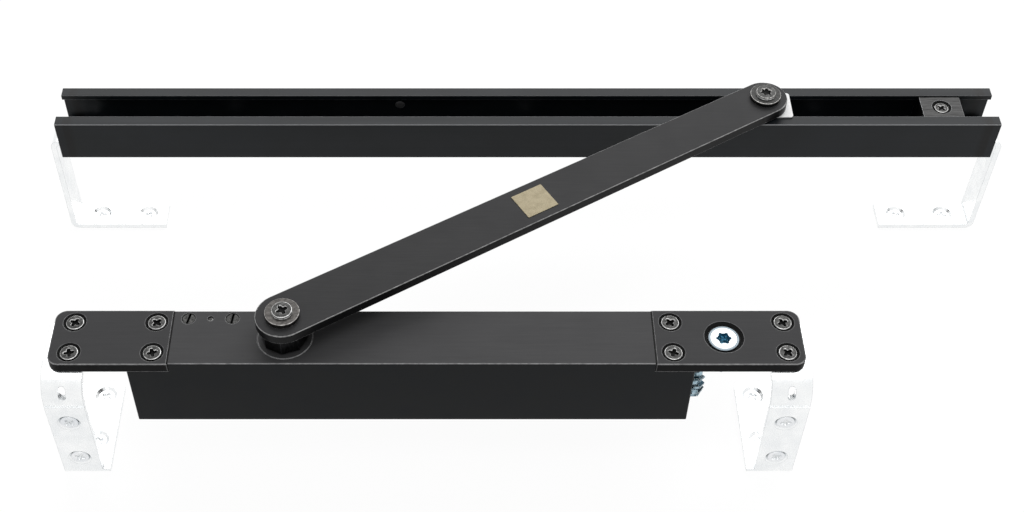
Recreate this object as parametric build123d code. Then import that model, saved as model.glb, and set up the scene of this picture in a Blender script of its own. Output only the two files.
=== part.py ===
from build123d import *
import math
import os

# Concealed door closer: closer casing with its end plates and door brackets, main arm,
# guide rail with its frame brackets, slider and stop. Millimetres, +Z up, X along the casing
# and the rail, Y from the casing towards the rail, Z = 0 at the undersides of the four feet,
# X = 0 and Y = 0 at the middle of the space that the whole set takes on a table.

# Casing, seen from the front with the spindle on the left
casing_length = 268.0
casing_width = 32.0
casing_height = 45.0
casing_edge = 0.6
main_bore_d = 25.0
main_bore_depth = 25.0          # bore axis below the top face
stand_height = 77.0             # casing top face above the feet
spindle_x = -119.0
spindle_to_left_end = 74.2
lower_pocket_d = 16.0
lower_pocket_floor = 1.5
nut_travel_space = 6.0          # keyway past the nut, towards the spindle

# End plates, let into the top of the casing
plate_thickness = 5.6
plate_overhang_y = 0.4          # each long side of a plate stands this far past the casing
plate_corner = 5.5
plate_edge = 0.4
left_plate_length = 56.6
left_plate_lap = 19.7
right_plate_length = 70.6
right_plate_lap = 18.6
left_outer_screw_inset = 9.8
left_inner_screw_inset = 7.6
right_outer_screw_inset = 8.3
right_inner_screw_inset = 8.4
plate_screw_spacing = 18.2
adjuster_inset = 37.4           # adjuster axis from the right plate's outer end

# Screws
sink_d = 11.2
head_d = 8.6
head_rim = 1.2                  # straight side above the head's cone
screw_d = 5.0
screw_tip_wall = 1.0            # casing left between a screw hole and the main bore
screw_tip_space = 0.6
bracket_screw_past = 3.9        # screw tip below the bracket's flange
screw_hole_gap = 0.15           # radial, where a screw passes freely
sunk_spare = 1.0                # a cutter runs this far past its stock
leg_screw_length = 13.0
leg_screw_turn = 40.0
foot_screw_turn = 25.0
rim_round = 0.35
cross_size = 4.8
cross_width = 1.35
cross_depth = 1.7
cross_share = 0.62              # widest recess as a share of its head
star_depth = 2.4
arm_cross_depth = 2.4

# Fits and gaps
running_fit = 0.05              # radial, turning or sliding
static_fit = 0.02               # radial, pressed or screwed in
seat_gap = 0.05                 # between faces that lie on each other and move
rub_gap = 0.2                   # between cam and roller
plate_seam = 0.3                # open line between plate and casing top

# Arm and spindle
arm_length = 286.8              # spindle axis to slider pivot
arm_angle = 31.3
arm_thickness = 5.5
arm_clearance = 11.0            # arm underside above the casing top
arm_spindle_r = 13.0
arm_slider_r = 11.75
arm_edge = 0.5
arm_washer_d = 16.5
arm_washer_h = 2.5
arm_screw_head_d = 9.8
arm_screw_head_h = 1.6
arm_thread_d = 6.0
washer_edge = 0.35
washer_gap = 0.1
head_edge = 0.5
arm_cross_turn = 32.0
pivot_star = 6.0
arm_screw_depth = 16.0          # below the arm's top face
pivot_washer_d = 16.0
pivot_head_d = 10.2
pivot_d = 8.0
label_length = 17.6
label_width = 16.2
label_thickness = 0.3
label_from_spindle = 140.8

# Camshaft, from the top down
boss_across = 21.0              # eight-sided boss that carries the arm
boss_sides = 8
boss_turn = 10.0                # of its flats against the arm
boss_gap = 0.4                  # between the boss and the casing's top
boss_edge = 0.8
tang_below_arm_top = 0.5
spindle_hole_past = 1.0         # hole below the arm screw's tip
tang_across = 9.0
upper_journal_d = 14.0
neck_d = 10.0
lower_journal_d = 10.0
cam_height = 12.0
cam_low_reach = 9.4             # spindle axis to roller axis with the arm along the casing
cam_rise = 2.4                  # roller travel for each radian of the arm
cam_steps = 28
cam_point_gap = 0.05
cap_flange_d = 26.7
cap_flange_h = 1.2
cap_depth = 4.0
bearing_height = 7.0
seal_height = 2.4
seal_d = 19.0
seal_sink = 0.2
cap_bore_gap = 0.5              # radial, round the spindle
cap_edge = 0.4
lower_bearing_gap = 0.2         # below the main bore

# Pistons, rollers and springs
roller_d = 10.0
roller_pin_d = 5.0
roller_pin_reach = 11.0         # to each side of the bore's axis
roller_side_gap = 0.1
roller_slot_gap = 0.3
roller_end_gap = 0.6
ear_reach = 4.0                 # piston tip past the roller axis, towards the spindle
spring_piston_length = 40.0
damper_piston_length = 34.0
skirt_wall = 2.6
spring_pocket = 22.0
damper_pocket = 10.0
ring_width = 2.4
ring_depth = 1.2
ring_from_slot = 6.0
ring_groove_gap = 0.1
round_edge = 0.4
closing_wire = 4.2
closing_turns = 13
closing_coil_gap = 0.3          # radial, between coil and skirt
damper_wire = 1.8
damper_turns = 5
damper_coil_gap = 0.4
end_plug_length = 12.0
plug_recess = 0.8
plug_edge = 0.5
plug_key_d = 3.0                # blind holes for the pin spanner
plug_key_depth = 4.0
left_key_radius = 7.0
right_key_radius = 8.5
o_ring_section = 1.9
o_ring_from_inner_face = 3.5
o_ring_side_gap = 0.15
o_ring_rub_gap = 0.06

# Spring setting gear
nut_length = 8.0
nut_from_right_end = 32.0       # nut face that meets the spring, from the casing's right end
nut_key_width = 3.0
nut_key_height = 1.4
nut_key_gap = 0.25
nut_gap = 0.25                  # radial, in the main bore
nut_key_root = 2.0              # key runs this far into the nut
screw_thread_d = 10.0
screw_journal_d = 8.0
screw_inner_length = 22.0
screw_lead_in = 0.8
thrust_collar_d = 18.0
thrust_collar_h = 4.0
thrust_washer_h = 1.5
right_plug_length = 16.0
gear_teeth = 18
pinion_teeth = 15
pinion_pitch_r = 10.8
gear_face = 4.4
wheel_gap = 0.7                 # between the casing's end and the wheel's back
screw_past_wheel_back = 6.2
tooth_above = 0.75
tooth_below = 1.25
tooth_root = 0.5                # tooth below the root cone, inside the gear
tooth_share = 0.34              # of the circular pitch, at the pitch circle
tooth_flank = 20.0
tooth_back_edge = 0.5
pinion_back_past = 2.4          # solid behind the pinion's teeth
adjuster_disc_d = 15.0
adjuster_rim_d = 19.0
adjuster_sink = 1.0
adjuster_disc_h = 4.5
adjuster_neck_d = 9.0
adjuster_hole_gap = 0.3
adjuster_star = 7.4
adjuster_star_depth = 4.0
retainer_d = 22.0
retainer_h = 1.5

# Speed valves in the casing top
closing_valve_from_spindle = 47.1
latching_valve_from_spindle = 26.1
valve_y_from_rear = 4.7
valve_head_d = 6.6
valve_head_h = 4.5
valve_stem_d = 3.6
valve_length = 13.0
valve_sink = 0.3
valve_slot = 1.1
valve_slot_depth = 2.4
valve_point_d = 1.2
valve_point_length = 2.0
valve_seat_room = 0.3
closing_valve_turn = 78.0
latching_valve_turn = 84.0
seal_below_head = 1.5
valve_seal_h = 2.0
gallery_end_above_bore = 4.0
gallery_d = 2.0
gallery_plug_d = 2.9
gallery_plug_depth = 6.0
gallery_plug_sink = 0.4
gallery_plug_round = 0.8
gallery_hole_past = 1.0

# Door brackets under the end plates
door_strip = 19.2
strip_thickness = 3.0
door_bracket_out = 3.4          # bracket past the plate's outer end
front_reach = 9.5               # bracket front face in front of the casing
door_bracket_step = 0.6
door_step_depth = 22.0          # below the casing top
door_slot_width = 3.6
door_slot_length = 6.6
door_slot_depth = 14.0
door_flange_length = 38.5
door_foot_length = 54.5
door_foot_extra = 3.6
door_leg_screws = (34.6, 63.8)  # below the casing top
door_foot_screws = (17.8, 45.6) # behind the bracket's front face
door_foot_screw_shift = 4.4     # inwards from the middle of the leg
door_bend = 15.0                # outside radius between flange and leg
door_foot_bend = 2.0
foot_corner = 3.0

# Rail, slider and stop
rail_length = 500.0
rail_width = 28.8
rail_edge = 0.5
rail_height = 24.4
rail_above_casing = 10.0
rail_wall = 3.0
rail_slot = 16.1
rail_lip = 2.8
rail_fixing_pitch = 160.0
rail_fixing_d = 5.5
rail_side_hole_d = 5.0
rail_side_hole_x = -68.3
rail_side_hole_depth = 9.5      # below the rail's top
slider_length = 30.0
slider_side_gap = 0.25
slider_cap_width = 18.6
slider_cap_h = 0.7
slider_cap_gap = 0.12           # above the rail
slider_floor_gap = 0.6
slider_behind_pivot = 0.3
slider_corner = 2.0
slider_cap_corner = 1.5
slider_stem_low = 4.0           # above the rail's floor
bush_d = 12.0
pivot_nut_d = 13.0
pivot_nut_h = 4.5
pivot_nut_low = 2.0             # above the rail's floor
pivot_nut_gap = 0.3
pivot_nut_top_gap = 0.1
pivot_nut_edge = 0.6
stop_length = 21.4
stop_from_rail_end = 17.9
stop_screw_d = 4.0
stop_screw_head_d = 6.5
stop_sink_d = 10.3
stop_floor_gap = 0.1
stop_below_rail_top = 0.6

# Frame brackets in the rail's ends
frame_strip = 16.6
frame_leg_out = 7.0             # bracket outer face past the rail's end
frame_flange_in = 16.4          # flange inside the rail
frame_foot_length = 53.5
frame_bend = 4.5
frame_screw_from_leg = 15.8     # from the leg's outer face
frame_screw_from_end = 11.1     # from the foot's inner end
frame_bolt_in = 10.5
frame_bolt_d = 4.0
frame_bolt_head_d = 7.4
frame_bolt_sink_d = 8.0
frame_bolt_past_nut = 2.0
frame_bolt_turn = 15.0
frame_nut_across = 7.0
frame_nut_h = 3.2

# Worked-out places
plate_width = casing_width + 2 * plate_overhang_y
arm_rise = arm_length * math.sin(math.radians(arm_angle))
arm_run = arm_length * math.cos(math.radians(arm_angle))
set_depth = front_reach + casing_width / 2 + arm_rise + rail_width / 2
casing_front = front_reach - set_depth / 2
axis_y = casing_front + casing_width / 2
casing_rear = casing_front + casing_width
casing_left = spindle_x - spindle_to_left_end
casing_right = casing_left + casing_length
top = stand_height
bottom = top - casing_height
bore_z = top - main_bore_depth
bore_r = main_bore_d / 2
left_plate_in = casing_left + left_plate_lap
left_plate_out = left_plate_in - left_plate_length
right_plate_in = casing_right - right_plate_lap
right_plate_out = right_plate_in + right_plate_length
plate_under = top - plate_thickness
left_outer_screw_x = left_plate_out + left_outer_screw_inset
left_inner_screw_x = left_plate_in - left_inner_screw_inset
right_outer_screw_x = right_plate_out - right_outer_screw_inset
right_inner_screw_x = right_plate_in + right_inner_screw_inset
adjuster_x = right_plate_out - adjuster_inset
arm_low = top + arm_clearance
arm_top = arm_low + arm_thickness
pivot_x = spindle_x + arm_run
pivot_y = axis_y + arm_rise
rail_top = top + rail_above_casing
rail_bottom = rail_top - rail_height
rail_floor = rail_bottom + rail_wall
rail_inner = rail_width - 2 * rail_wall
rest_angle = math.radians(arm_angle)
cam_roller_gap_r = roller_d / 2 + rub_gap
spring_roller_x = spindle_x + cam_low_reach + cam_rise * rest_angle
damper_roller_x = spindle_x - cam_low_reach - cam_rise * (math.pi - rest_angle)
valve_y = casing_rear - valve_y_from_rear
nut_left = casing_right - nut_from_right_end
plug_outer = casing_right - plug_recess
plug_inner = plug_outer - right_plug_length
left_o_ring_x = casing_left + plug_recess + end_plug_length - o_ring_from_inner_face
right_o_ring_x = plug_inner + o_ring_from_inner_face
collar_right = plug_inner - thrust_washer_h - 2 * seat_gap
collar_left = collar_right - thrust_collar_h
gear_pitch_r = pinion_pitch_r * gear_teeth / pinion_teeth
wheel_back = casing_right + wheel_gap
screw_hole_d = screw_d + 2 * screw_hole_gap
bolt_hole_d = frame_bolt_d + 2 * screw_hole_gap
nut_floor = rail_floor + pivot_nut_low
bush_low = nut_floor + pivot_nut_h + pivot_nut_top_gap
slider_cap_low = rail_top + slider_cap_gap
stop_top = rail_top - stop_below_rail_top
frame_outer = rail_length / 2 + frame_leg_out
frame_foot_screws = (frame_screw_from_leg, frame_foot_length - frame_screw_from_end)
gear_pitch = 2 * math.pi * pinion_pitch_r / pinion_teeth
screw_inner_side = (plate_screw_spacing - screw_d) / 2
bore_over_screw = math.sqrt(bore_r ** 2 - screw_inner_side ** 2)
bracket_screw_tip = plate_under - strip_thickness - bracket_screw_past
plate_screw_tip = bore_z + bore_over_screw + screw_tip_wall + screw_tip_space
screw_rows = (axis_y - plate_screw_spacing / 2, axis_y + plate_screw_spacing / 2)


def block(x0, x1, y0, y1, z0, z1):
    size = Box(x1 - x0, y1 - y0, z1 - z0)
    return Pos((x0 + x1) / 2, (y0 + y1) / 2, (z0 + z1) / 2) * size


def post(diameter, x, y, z0, z1):
    return Pos(x, y, (z0 + z1) / 2) * Cylinder(diameter / 2, z1 - z0)


def bar(diameter, x0, x1, y=axis_y, z=bore_z):
    return Pos((x0 + x1) / 2, y, z) * Rot(0, 90, 0) * Cylinder(diameter / 2, x1 - x0)


def cross_recess(depth=cross_depth, size=cross_size):
    arms = Rectangle(size, cross_width) + Rectangle(cross_width, size)
    return extrude(arms, amount=-depth, taper=9)


def star_recess(size, depth):
    star = Circle(size * 0.40)
    for turn in range(6):
        star += Rot(0, 0, 60 * turn) * Pos(size * 0.38, 0) * Circle(size * 0.115)
    return extrude(star, amount=-depth)


def sunk_screw(diameter, head, length, turn=20.0, rim=0.0):
    """A countersunk screw, pointing down; its head's cone starts at the origin."""
    cone = (head - diameter) / 2
    screw = Pos(0, 0, -cone / 2) * Cone(diameter / 2, head / 2, cone)
    screw += Pos(0, 0, -(cone + length) / 2) * Cylinder(diameter / 2, length - cone)
    screw = chamfer(screw.edges().sort_by(Axis.Z)[0], diameter * 0.12)
    if rim:
        collar = extrude(Circle(head / 2), amount=rim)
        screw += fillet(collar.edges().sort_by(Axis.Z)[-1], rim_round)
    recess = Pos(0, 0, rim) * cross_recess(size=min(cross_size, head * cross_share))
    return screw - Rot(0, 0, turn) * recess


def sink_hole(diameter, rim, depth):
    """The hole that a countersunk screw lies in, rim at the origin, pointing down."""
    cone = (rim - diameter) / 2
    hole = Pos(0, 0, -cone / 2) * Cone(diameter / 2, rim / 2, cone)
    return hole + Pos(0, 0, -depth / 2) * Cylinder(diameter / 2, depth)


def head_drop(rim, head):
    """How far a head lies below the face when its cone meets the countersink."""
    return (rim - head) / 2 - static_fit


def grouped(pieces):
    return Compound(children=list(pieces))


def plate_screw_places(columns):
    return [(x, y) for x in columns for y in screw_rows]


casing_screw_places = plate_screw_places((left_inner_screw_x, right_inner_screw_x))
bracket_screw_places = plate_screw_places((left_outer_screw_x, right_outer_screw_x))


def make_casing():
    body = block(casing_left, casing_right, casing_front, casing_rear, bottom, top)
    body = fillet(body.edges(), casing_edge)
    pocket = plate_under - plate_seam
    wide = casing_width
    body -= block(casing_left - 1, left_plate_in + plate_seam, casing_front - wide,
                  casing_rear + wide, pocket, top + 1)
    body -= block(right_plate_in - plate_seam, casing_right + 1, casing_front - wide,
                  casing_rear + wide, pocket, top + 1)
    body -= bar(main_bore_d, casing_left - 1, casing_right + 1)
    body -= post(main_bore_d, spindle_x, axis_y, bore_z - bore_r, top + 1)
    body -= post(cap_flange_d + 2 * static_fit, spindle_x, axis_y, top - cap_flange_h, top + 1)
    body -= post(lower_pocket_d, spindle_x, axis_y, bottom + lower_pocket_floor, bore_z)
    keyway = nut_key_width / 2 + running_fit
    body -= block(nut_left - nut_travel_space, casing_right + 1, axis_y - keyway, axis_y + keyway,
                  bore_z - bore_r - nut_key_height, bore_z)
    for x, y in casing_screw_places:
        body -= post(screw_d + 2 * static_fit, x, y, plate_screw_tip - screw_tip_space, top)
    for offset in (closing_valve_from_spindle, latching_valve_from_spindle):
        x = spindle_x - offset
        seat = top - valve_sink - valve_length
        body -= post(valve_head_d + 2 * running_fit, x, valve_y, seat - valve_seat_room, top + 1)
        body -= post(gallery_d, x, valve_y, bore_z + gallery_end_above_bore, seat)
    middle = spindle_x - (closing_valve_from_spindle + latching_valve_from_spindle) / 2
    hole_d = gallery_plug_d + 2 * static_fit
    hole_low = top - gallery_plug_depth - gallery_hole_past
    body -= post(hole_d, middle, valve_y, hole_low, top + 1)
    return body


def make_plate(outer, inner, columns):
    low, high = min(outer, inner), max(outer, inner)
    middle = (low + high) / 2
    plate = block(low, high, axis_y - plate_width / 2, axis_y + plate_width / 2,
                  plate_under, top)
    side = Axis.X if outer > inner else Axis((0, 0, 0), (-1, 0, 0))
    corners = plate.edges().filter_by(Axis.Z).sort_by(side)[-2:]
    plate = fillet(corners, plate_corner)
    plate = chamfer(plate.faces().sort_by(Axis.Z)[-1].edges(), plate_edge)
    for x, y in plate_screw_places(columns):
        plate -= Pos(x, y, top) * sink_hole(screw_hole_d, sink_d, plate_thickness + sunk_spare)
    return plate


def make_right_plate():
    plate = make_plate(right_plate_out, right_plate_in,
                       (right_outer_screw_x, right_inner_screw_x))
    hole = adjuster_disc_d + 2 * adjuster_hole_gap
    depth = plate_thickness + sunk_spare
    return plate - Pos(adjuster_x, axis_y, top) * sink_hole(hole, adjuster_rim_d, depth)


def make_plate_screws(places, tip_z):
    head_z = top - head_drop(sink_d, head_d)
    turns = (18.0, 52.0, 70.0, 33.0)
    return grouped(Pos(x, y, head_z) * sunk_screw(screw_d, head_d, head_z - tip_z, turn,
                                                  head_rim)
                   for (x, y), turn in zip(places, turns))


strip_sink = sink_hole(screw_hole_d, sink_d, strip_thickness + sunk_spare)


def make_door_bracket(side, plate_out, screw_x):
    """Strip bent to a flange under the plate, a front leg and a foot; side is -1 or +1."""
    outer = plate_out + side * door_bracket_out
    inner = outer - side * door_strip
    low, high = min(outer, inner), max(outer, inner)
    front = casing_front - front_reach
    stepped = front + door_bracket_step
    step_z = top - door_step_depth
    flange_top = plate_under
    flange = block(low, high, stepped, front + door_flange_length,
                   flange_top - strip_thickness, flange_top)
    upper = block(low, high, stepped, stepped + strip_thickness, step_z, flange_top)
    lower = block(low, high, front, front + strip_thickness, 0, step_z)
    foot_low = min(outer, inner - side * door_foot_extra)
    foot_high = max(outer, inner - side * door_foot_extra)
    foot = block(foot_low, foot_high, front, front + door_foot_length, 0, strip_thickness)
    rear_corners = foot.edges().filter_by(Axis.Z).sort_by(Axis.Y)[-2:]
    foot = fillet(rear_corners, foot_corner)
    bracket = flange + upper + lower + foot
    inside = bracket.edges().filter_by(Axis.X).filter_by(
        lambda e: abs(e.center().Y - stepped - strip_thickness) < 0.01
        and e.center().Z > step_z + 1)
    bracket = fillet(inside, door_bend - strip_thickness)
    outside = bracket.edges().filter_by(Axis.X).filter_by(
        lambda e: abs(e.center().Y - stepped) < 0.01
        and e.center().Z > flange_top - 0.01)
    bracket = fillet(outside, door_bend)
    base = bracket.edges().filter_by(Axis.X).filter_by(
        lambda e: abs(e.center().Y - front) < 0.01 and e.center().Z < 0.01)
    bracket = fillet(base, door_foot_bend)
    for y in screw_rows:
        bracket -= post(screw_hole_d, screw_x, y, flange_top - door_bend, flange_top + 1)
    middle = (low + high) / 2
    slot = SlotOverall(door_slot_length, door_slot_width, rotation=90)
    slot = extrude(Plane.XZ * slot, amount=door_bend + strip_thickness, both=True)
    bracket -= Pos(middle, front, top - door_slot_depth) * slot
    for depth in door_leg_screws:
        bracket -= Pos(middle, front, top - depth) * Rot(90, 0, 0) * strip_sink
    for y in door_foot_screws:
        bracket -= Pos(middle - side * door_foot_screw_shift, front + y, strip_thickness) * strip_sink
    return bracket


def door_strip_middle(side, plate_out):
    return plate_out + side * (door_bracket_out - door_strip / 2)


door_bracket_middles = (door_strip_middle(-1, left_plate_out),
                        door_strip_middle(1, right_plate_out))


def make_leg_screws():
    front = casing_front - front_reach + head_drop(sink_d, head_d)
    return grouped(Pos(x, front, top - depth) * Rot(90, 0, 0)
                   * sunk_screw(screw_d, head_d, leg_screw_length, leg_screw_turn + depth,
                                head_rim)
                   for x in door_bracket_middles for depth in door_leg_screws)


def flush_foot_screw(turn):
    """A foot screw that ends level with the underside of the foot."""
    height = strip_thickness - head_drop(sink_d, head_d)
    screw = Pos(0, 0, height / 2) * Cone(head_d / 2 - height, head_d / 2, height)
    recess = Rot(0, 0, turn) * cross_recess(depth=height * cross_share)
    return screw - Pos(0, 0, height) * recess


def make_door_foot_screws():
    front = casing_front - front_reach
    left, right = door_bracket_middles
    columns = (left + door_foot_screw_shift, right - door_foot_screw_shift)
    return grouped(Pos(x, front + y, 0) * flush_foot_screw(foot_screw_turn + y)
                   for x in columns for y in door_foot_screws)


def make_spindle_cap():
    flange_low = top - cap_flange_h
    cap = post(cap_flange_d, spindle_x, axis_y, flange_low, top)
    cap += post(main_bore_d - 2 * static_fit, spindle_x, axis_y, top - cap_depth, flange_low)
    cap = chamfer(cap.faces().sort_by(Axis.Z)[-1].edges(), cap_edge)
    cap -= post(upper_journal_d + 2 * cap_bore_gap, spindle_x, axis_y, top - cap_depth - 1, top + 1)
    return cap - post(seal_d + 2 * static_fit, spindle_x, axis_y, top - seal_height, top + 1)


def make_spindle_seal():
    seal = post(seal_d, spindle_x, axis_y, top - seal_height + seat_gap, top - seal_sink)
    return seal - post(upper_journal_d + 2 * running_fit, spindle_x, axis_y, bottom, top + 1)


def make_upper_bearing():
    high = top - cap_depth - seat_gap
    ring = post(main_bore_d - 2 * static_fit, spindle_x, axis_y, high - bearing_height, high)
    return ring - post(upper_journal_d + 2 * running_fit, spindle_x, axis_y, bottom, top)


def make_lower_bearing():
    low = bottom + lower_pocket_floor
    high = bore_z - bore_r - lower_bearing_gap
    ring = post(lower_pocket_d - 2 * static_fit, spindle_x, axis_y, low, high)
    return ring - post(lower_journal_d + 2 * running_fit, spindle_x, axis_y, bottom, top)


def cam_outline():
    """Heart cam: its radius grows evenly with the angle from the arm's own direction."""
    gap = cam_roller_gap_r
    half = [(cam_low_reach - gap, 0)]
    for step in range(cam_steps + 1):
        turn = math.pi * step / cam_steps
        reach = cam_low_reach + cam_rise * turn
        normal = turn - math.atan2(cam_rise, reach)
        x = reach * math.cos(turn) - gap * math.cos(normal)
        y = reach * math.sin(turn) - gap * math.sin(normal)
        if y > cam_point_gap:
            half.append((x, y))
    half.append((half[-1][0], 0))
    curve = Polyline(*half[:2]) + Spline(*half[1:-1]) + Polyline(*half[-2:])
    return make_face(Curve() + [*curve.edges(), *mirror(curve, Plane.XZ).edges()])


def make_camshaft():
    shaft_x, shaft_y = spindle_x, axis_y
    base = bottom + lower_pocket_floor + seat_gap
    cam_low = bore_z - cam_height / 2
    bearing_low = top - cap_depth - seat_gap - bearing_height
    boss_low = top + boss_gap
    cam = extrude(Rot(0, 0, arm_angle) * cam_outline(), amount=cam_height)
    shaft = Pos(shaft_x, shaft_y, cam_low) * cam
    shaft += post(lower_journal_d, shaft_x, shaft_y, base, cam_low)
    shaft += post(neck_d, shaft_x, shaft_y, cam_low + cam_height, bearing_low)
    shaft += post(upper_journal_d, shaft_x, shaft_y, bearing_low, boss_low)
    boss = extrude(RegularPolygon(boss_across / 2, boss_sides, major_radius=False),
                   amount=arm_clearance - boss_gap)
    boss = chamfer(boss.faces().sort_by(Axis.Z)[0].edges(), boss_edge)
    turned = Rot(0, 0, arm_angle + boss_turn)
    shaft += Pos(shaft_x, shaft_y, boss_low) * turned * boss
    tang = extrude(Rectangle(tang_across, tang_across),
                   amount=arm_thickness - tang_below_arm_top)
    shaft += Pos(shaft_x, shaft_y, arm_low) * Rot(0, 0, arm_angle) * tang
    hole_low = arm_top - arm_screw_depth - spindle_hole_past
    return shaft - post(arm_thread_d + 2 * static_fit, shaft_x, shaft_y, hole_low, arm_top)


def along_arm(distance, height):
    return Pos(spindle_x, axis_y, height) * Rot(0, 0, arm_angle) * Pos(distance, 0, 0)


def make_arm():
    big, small, reach = arm_spindle_r, arm_slider_r, arm_length
    lean = math.asin((big - small) / reach)
    up_big = (big * math.sin(lean), big * math.cos(lean))
    up_small = (reach + small * math.sin(lean), small * math.cos(lean))
    upper = Line(up_big, up_small)
    lower = mirror(upper, Plane.XZ)
    nose = ThreePointArc(up_small, (reach + small, 0), (up_small[0], -up_small[1]))
    heel = ThreePointArc(up_big, (-big, 0), (up_big[0], -up_big[1]))
    arm = extrude(make_face(Curve() + [upper, nose, lower, heel]), amount=arm_thickness)
    arm = fillet(arm.faces().sort_by(Axis.Z)[-1].edges(), arm_edge)
    arm = chamfer(arm.faces().sort_by(Axis.Z)[0].edges(), arm_edge * 0.6)
    square = tang_across + 2 * static_fit
    arm -= extrude(Rectangle(square, square), amount=arm_thickness + sunk_spare)
    arm -= Pos(reach, 0, arm_thickness / 2) * Cylinder(pivot_d / 2 + static_fit,
                                                       2 * arm_thickness)
    return along_arm(0, arm_low) * arm


def make_washer(diameter, hole, distance):
    ring = Pos(0, 0, arm_washer_h / 2) * Cylinder(diameter / 2, arm_washer_h)
    ring = fillet(ring.faces().sort_by(Axis.Z)[-1].edges(), washer_edge)
    bore = Cylinder(hole / 2 + washer_gap, 4 * arm_washer_h)
    return along_arm(distance, arm_top) * (ring - bore)


def make_arm_screw():
    head = Pos(0, 0, arm_screw_head_h / 2) * Cylinder(arm_screw_head_d / 2, arm_screw_head_h)
    head = fillet(head.faces().sort_by(Axis.Z)[-1].edges(), head_edge)
    reach = arm_washer_h + arm_screw_depth
    screw = head + Pos(0, 0, -reach / 2) * Cylinder(arm_thread_d / 2, reach)
    screw -= Pos(0, 0, arm_screw_head_h) * Rot(0, 0, arm_cross_turn) * cross_recess(arm_cross_depth)
    return along_arm(0, arm_top + arm_washer_h) * screw


def make_pivot_screw():
    head = Pos(0, 0, arm_screw_head_h / 2) * Cylinder(pivot_head_d / 2, arm_screw_head_h)
    head = fillet(head.faces().sort_by(Axis.Z)[-1].edges(), head_edge)
    reach = arm_top + arm_washer_h - nut_floor
    screw = head + Pos(0, 0, -reach / 2) * Cylinder(pivot_d / 2, reach)
    screw -= Pos(0, 0, arm_screw_head_h) * star_recess(pivot_star, star_depth)
    return along_arm(arm_length, arm_top + arm_washer_h) * screw


def make_pivot_nut():
    nut = post(pivot_nut_d, pivot_x, pivot_y, nut_floor, nut_floor + pivot_nut_h)
    nut = chamfer(nut.faces().sort_by(Axis.Z)[0].edges(), pivot_nut_edge)
    return nut - post(pivot_d + 2 * static_fit, pivot_x, pivot_y, rail_floor, rail_top)


def make_label():
    plate = extrude(Rectangle(label_length, label_width), amount=label_thickness)
    return along_arm(label_from_spindle, arm_top) * plate


def make_piston(side, roller_x, length, pocket):
    """side is +1 for the spring piston and -1 for the damper piston."""
    tip = roller_x - side * ear_reach
    back = tip + side * length
    low, high = min(tip, back), max(tip, back)
    piston = bar(main_bore_d - 2 * running_fit, low, high)
    piston = chamfer(piston.edges().filter_by(GeomType.CIRCLE), round_edge)
    slot_end = roller_x + side * (roller_d / 2 + roller_end_gap)
    slot = cam_height / 2 + roller_slot_gap
    ends = sorted((tip - side * 1, slot_end))
    piston -= block(ends[0], ends[1], axis_y - bore_r, axis_y + bore_r,
                    bore_z - slot, bore_z + slot)
    hole = roller_pin_d + 2 * static_fit
    piston -= post(hole, roller_x, axis_y, bore_z - bore_r - 1, bore_z + bore_r + 1)
    pocket_start = back - side * pocket
    ends = sorted((pocket_start, back + side * 1))
    piston -= bar(main_bore_d - 2 * skirt_wall, ends[0], ends[1])
    ring_middle = slot_end + side * ring_from_slot
    groove = bar(main_bore_d + 1, ring_middle - ring_width / 2, ring_middle + ring_width / 2)
    groove -= bar(main_bore_d - 2 * (ring_depth + ring_groove_gap), ring_middle - ring_width,
                  ring_middle + ring_width)
    return piston - groove


def make_piston_ring(side, roller_x):
    middle = roller_x + side * (roller_d / 2 + roller_end_gap + ring_from_slot)
    half = ring_width / 2 - seat_gap
    ring = bar(main_bore_d - 2 * static_fit, middle - half, middle + half)
    return ring - bar(main_bore_d - 2 * ring_depth, middle - ring_width, middle + ring_width)


def make_roller_pin(roller_x):
    return post(roller_pin_d, roller_x, axis_y, bore_z - roller_pin_reach,
                bore_z + roller_pin_reach)


def make_roller(roller_x):
    half = cam_height / 2 - roller_side_gap
    roller = post(roller_d, roller_x, axis_y, bore_z - half, bore_z + half)
    roller = chamfer(roller.edges(), round_edge)
    return roller - post(roller_pin_d + 2 * running_fit, roller_x, axis_y, bottom, top)


def make_coil_spring(x0, x1, mean_d, wire, turns):
    length = x1 - x0 - wire
    path = Helix(pitch=length / turns, height=length, radius=mean_d / 2)
    section = Plane(path @ 0, z_dir=path % 0) * Circle(wire / 2)
    coil = sweep(section, path=path, is_frenet=True)
    return Pos(x0 + wire / 2, axis_y, bore_z) * Rot(0, 90, 0) * coil


def pocket_floor(side, roller_x, length, pocket):
    return roller_x - side * ear_reach + side * (length - pocket)


def make_closing_spring():
    start = pocket_floor(1, spring_roller_x, spring_piston_length, spring_pocket)
    mean = main_bore_d - 2 * (skirt_wall + closing_coil_gap) - closing_wire
    return make_coil_spring(start + seat_gap, nut_left - seat_gap, mean, closing_wire,
                            closing_turns)


def make_damper_spring():
    end = pocket_floor(-1, damper_roller_x, damper_piston_length, damper_pocket)
    start = casing_left + plug_recess + end_plug_length
    mean = main_bore_d - 2 * (skirt_wall + damper_coil_gap) - damper_wire
    return make_coil_spring(start + seat_gap, end - seat_gap, mean, damper_wire, damper_turns)


def plug_blank(x0, x1, groove_x):
    plug = bar(main_bore_d - 2 * static_fit, x0, x1)
    plug = chamfer(plug.edges().filter_by(GeomType.CIRCLE), plug_edge)
    half = o_ring_section / 2 + o_ring_side_gap
    groove = bar(main_bore_d + 1, groove_x - half, groove_x + half)
    floor_d = main_bore_d - 2 * (o_ring_section + o_ring_side_gap)
    return plug - (groove - bar(floor_d, x0, x1))


def make_left_plug():
    x0 = casing_left + plug_recess
    plug = plug_blank(x0, x0 + end_plug_length, left_o_ring_x)
    for turn in (-1, 1):
        plug -= bar(plug_key_d, x0 - 1, x0 + plug_key_depth, y=axis_y + turn * left_key_radius)
    return plug


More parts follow.
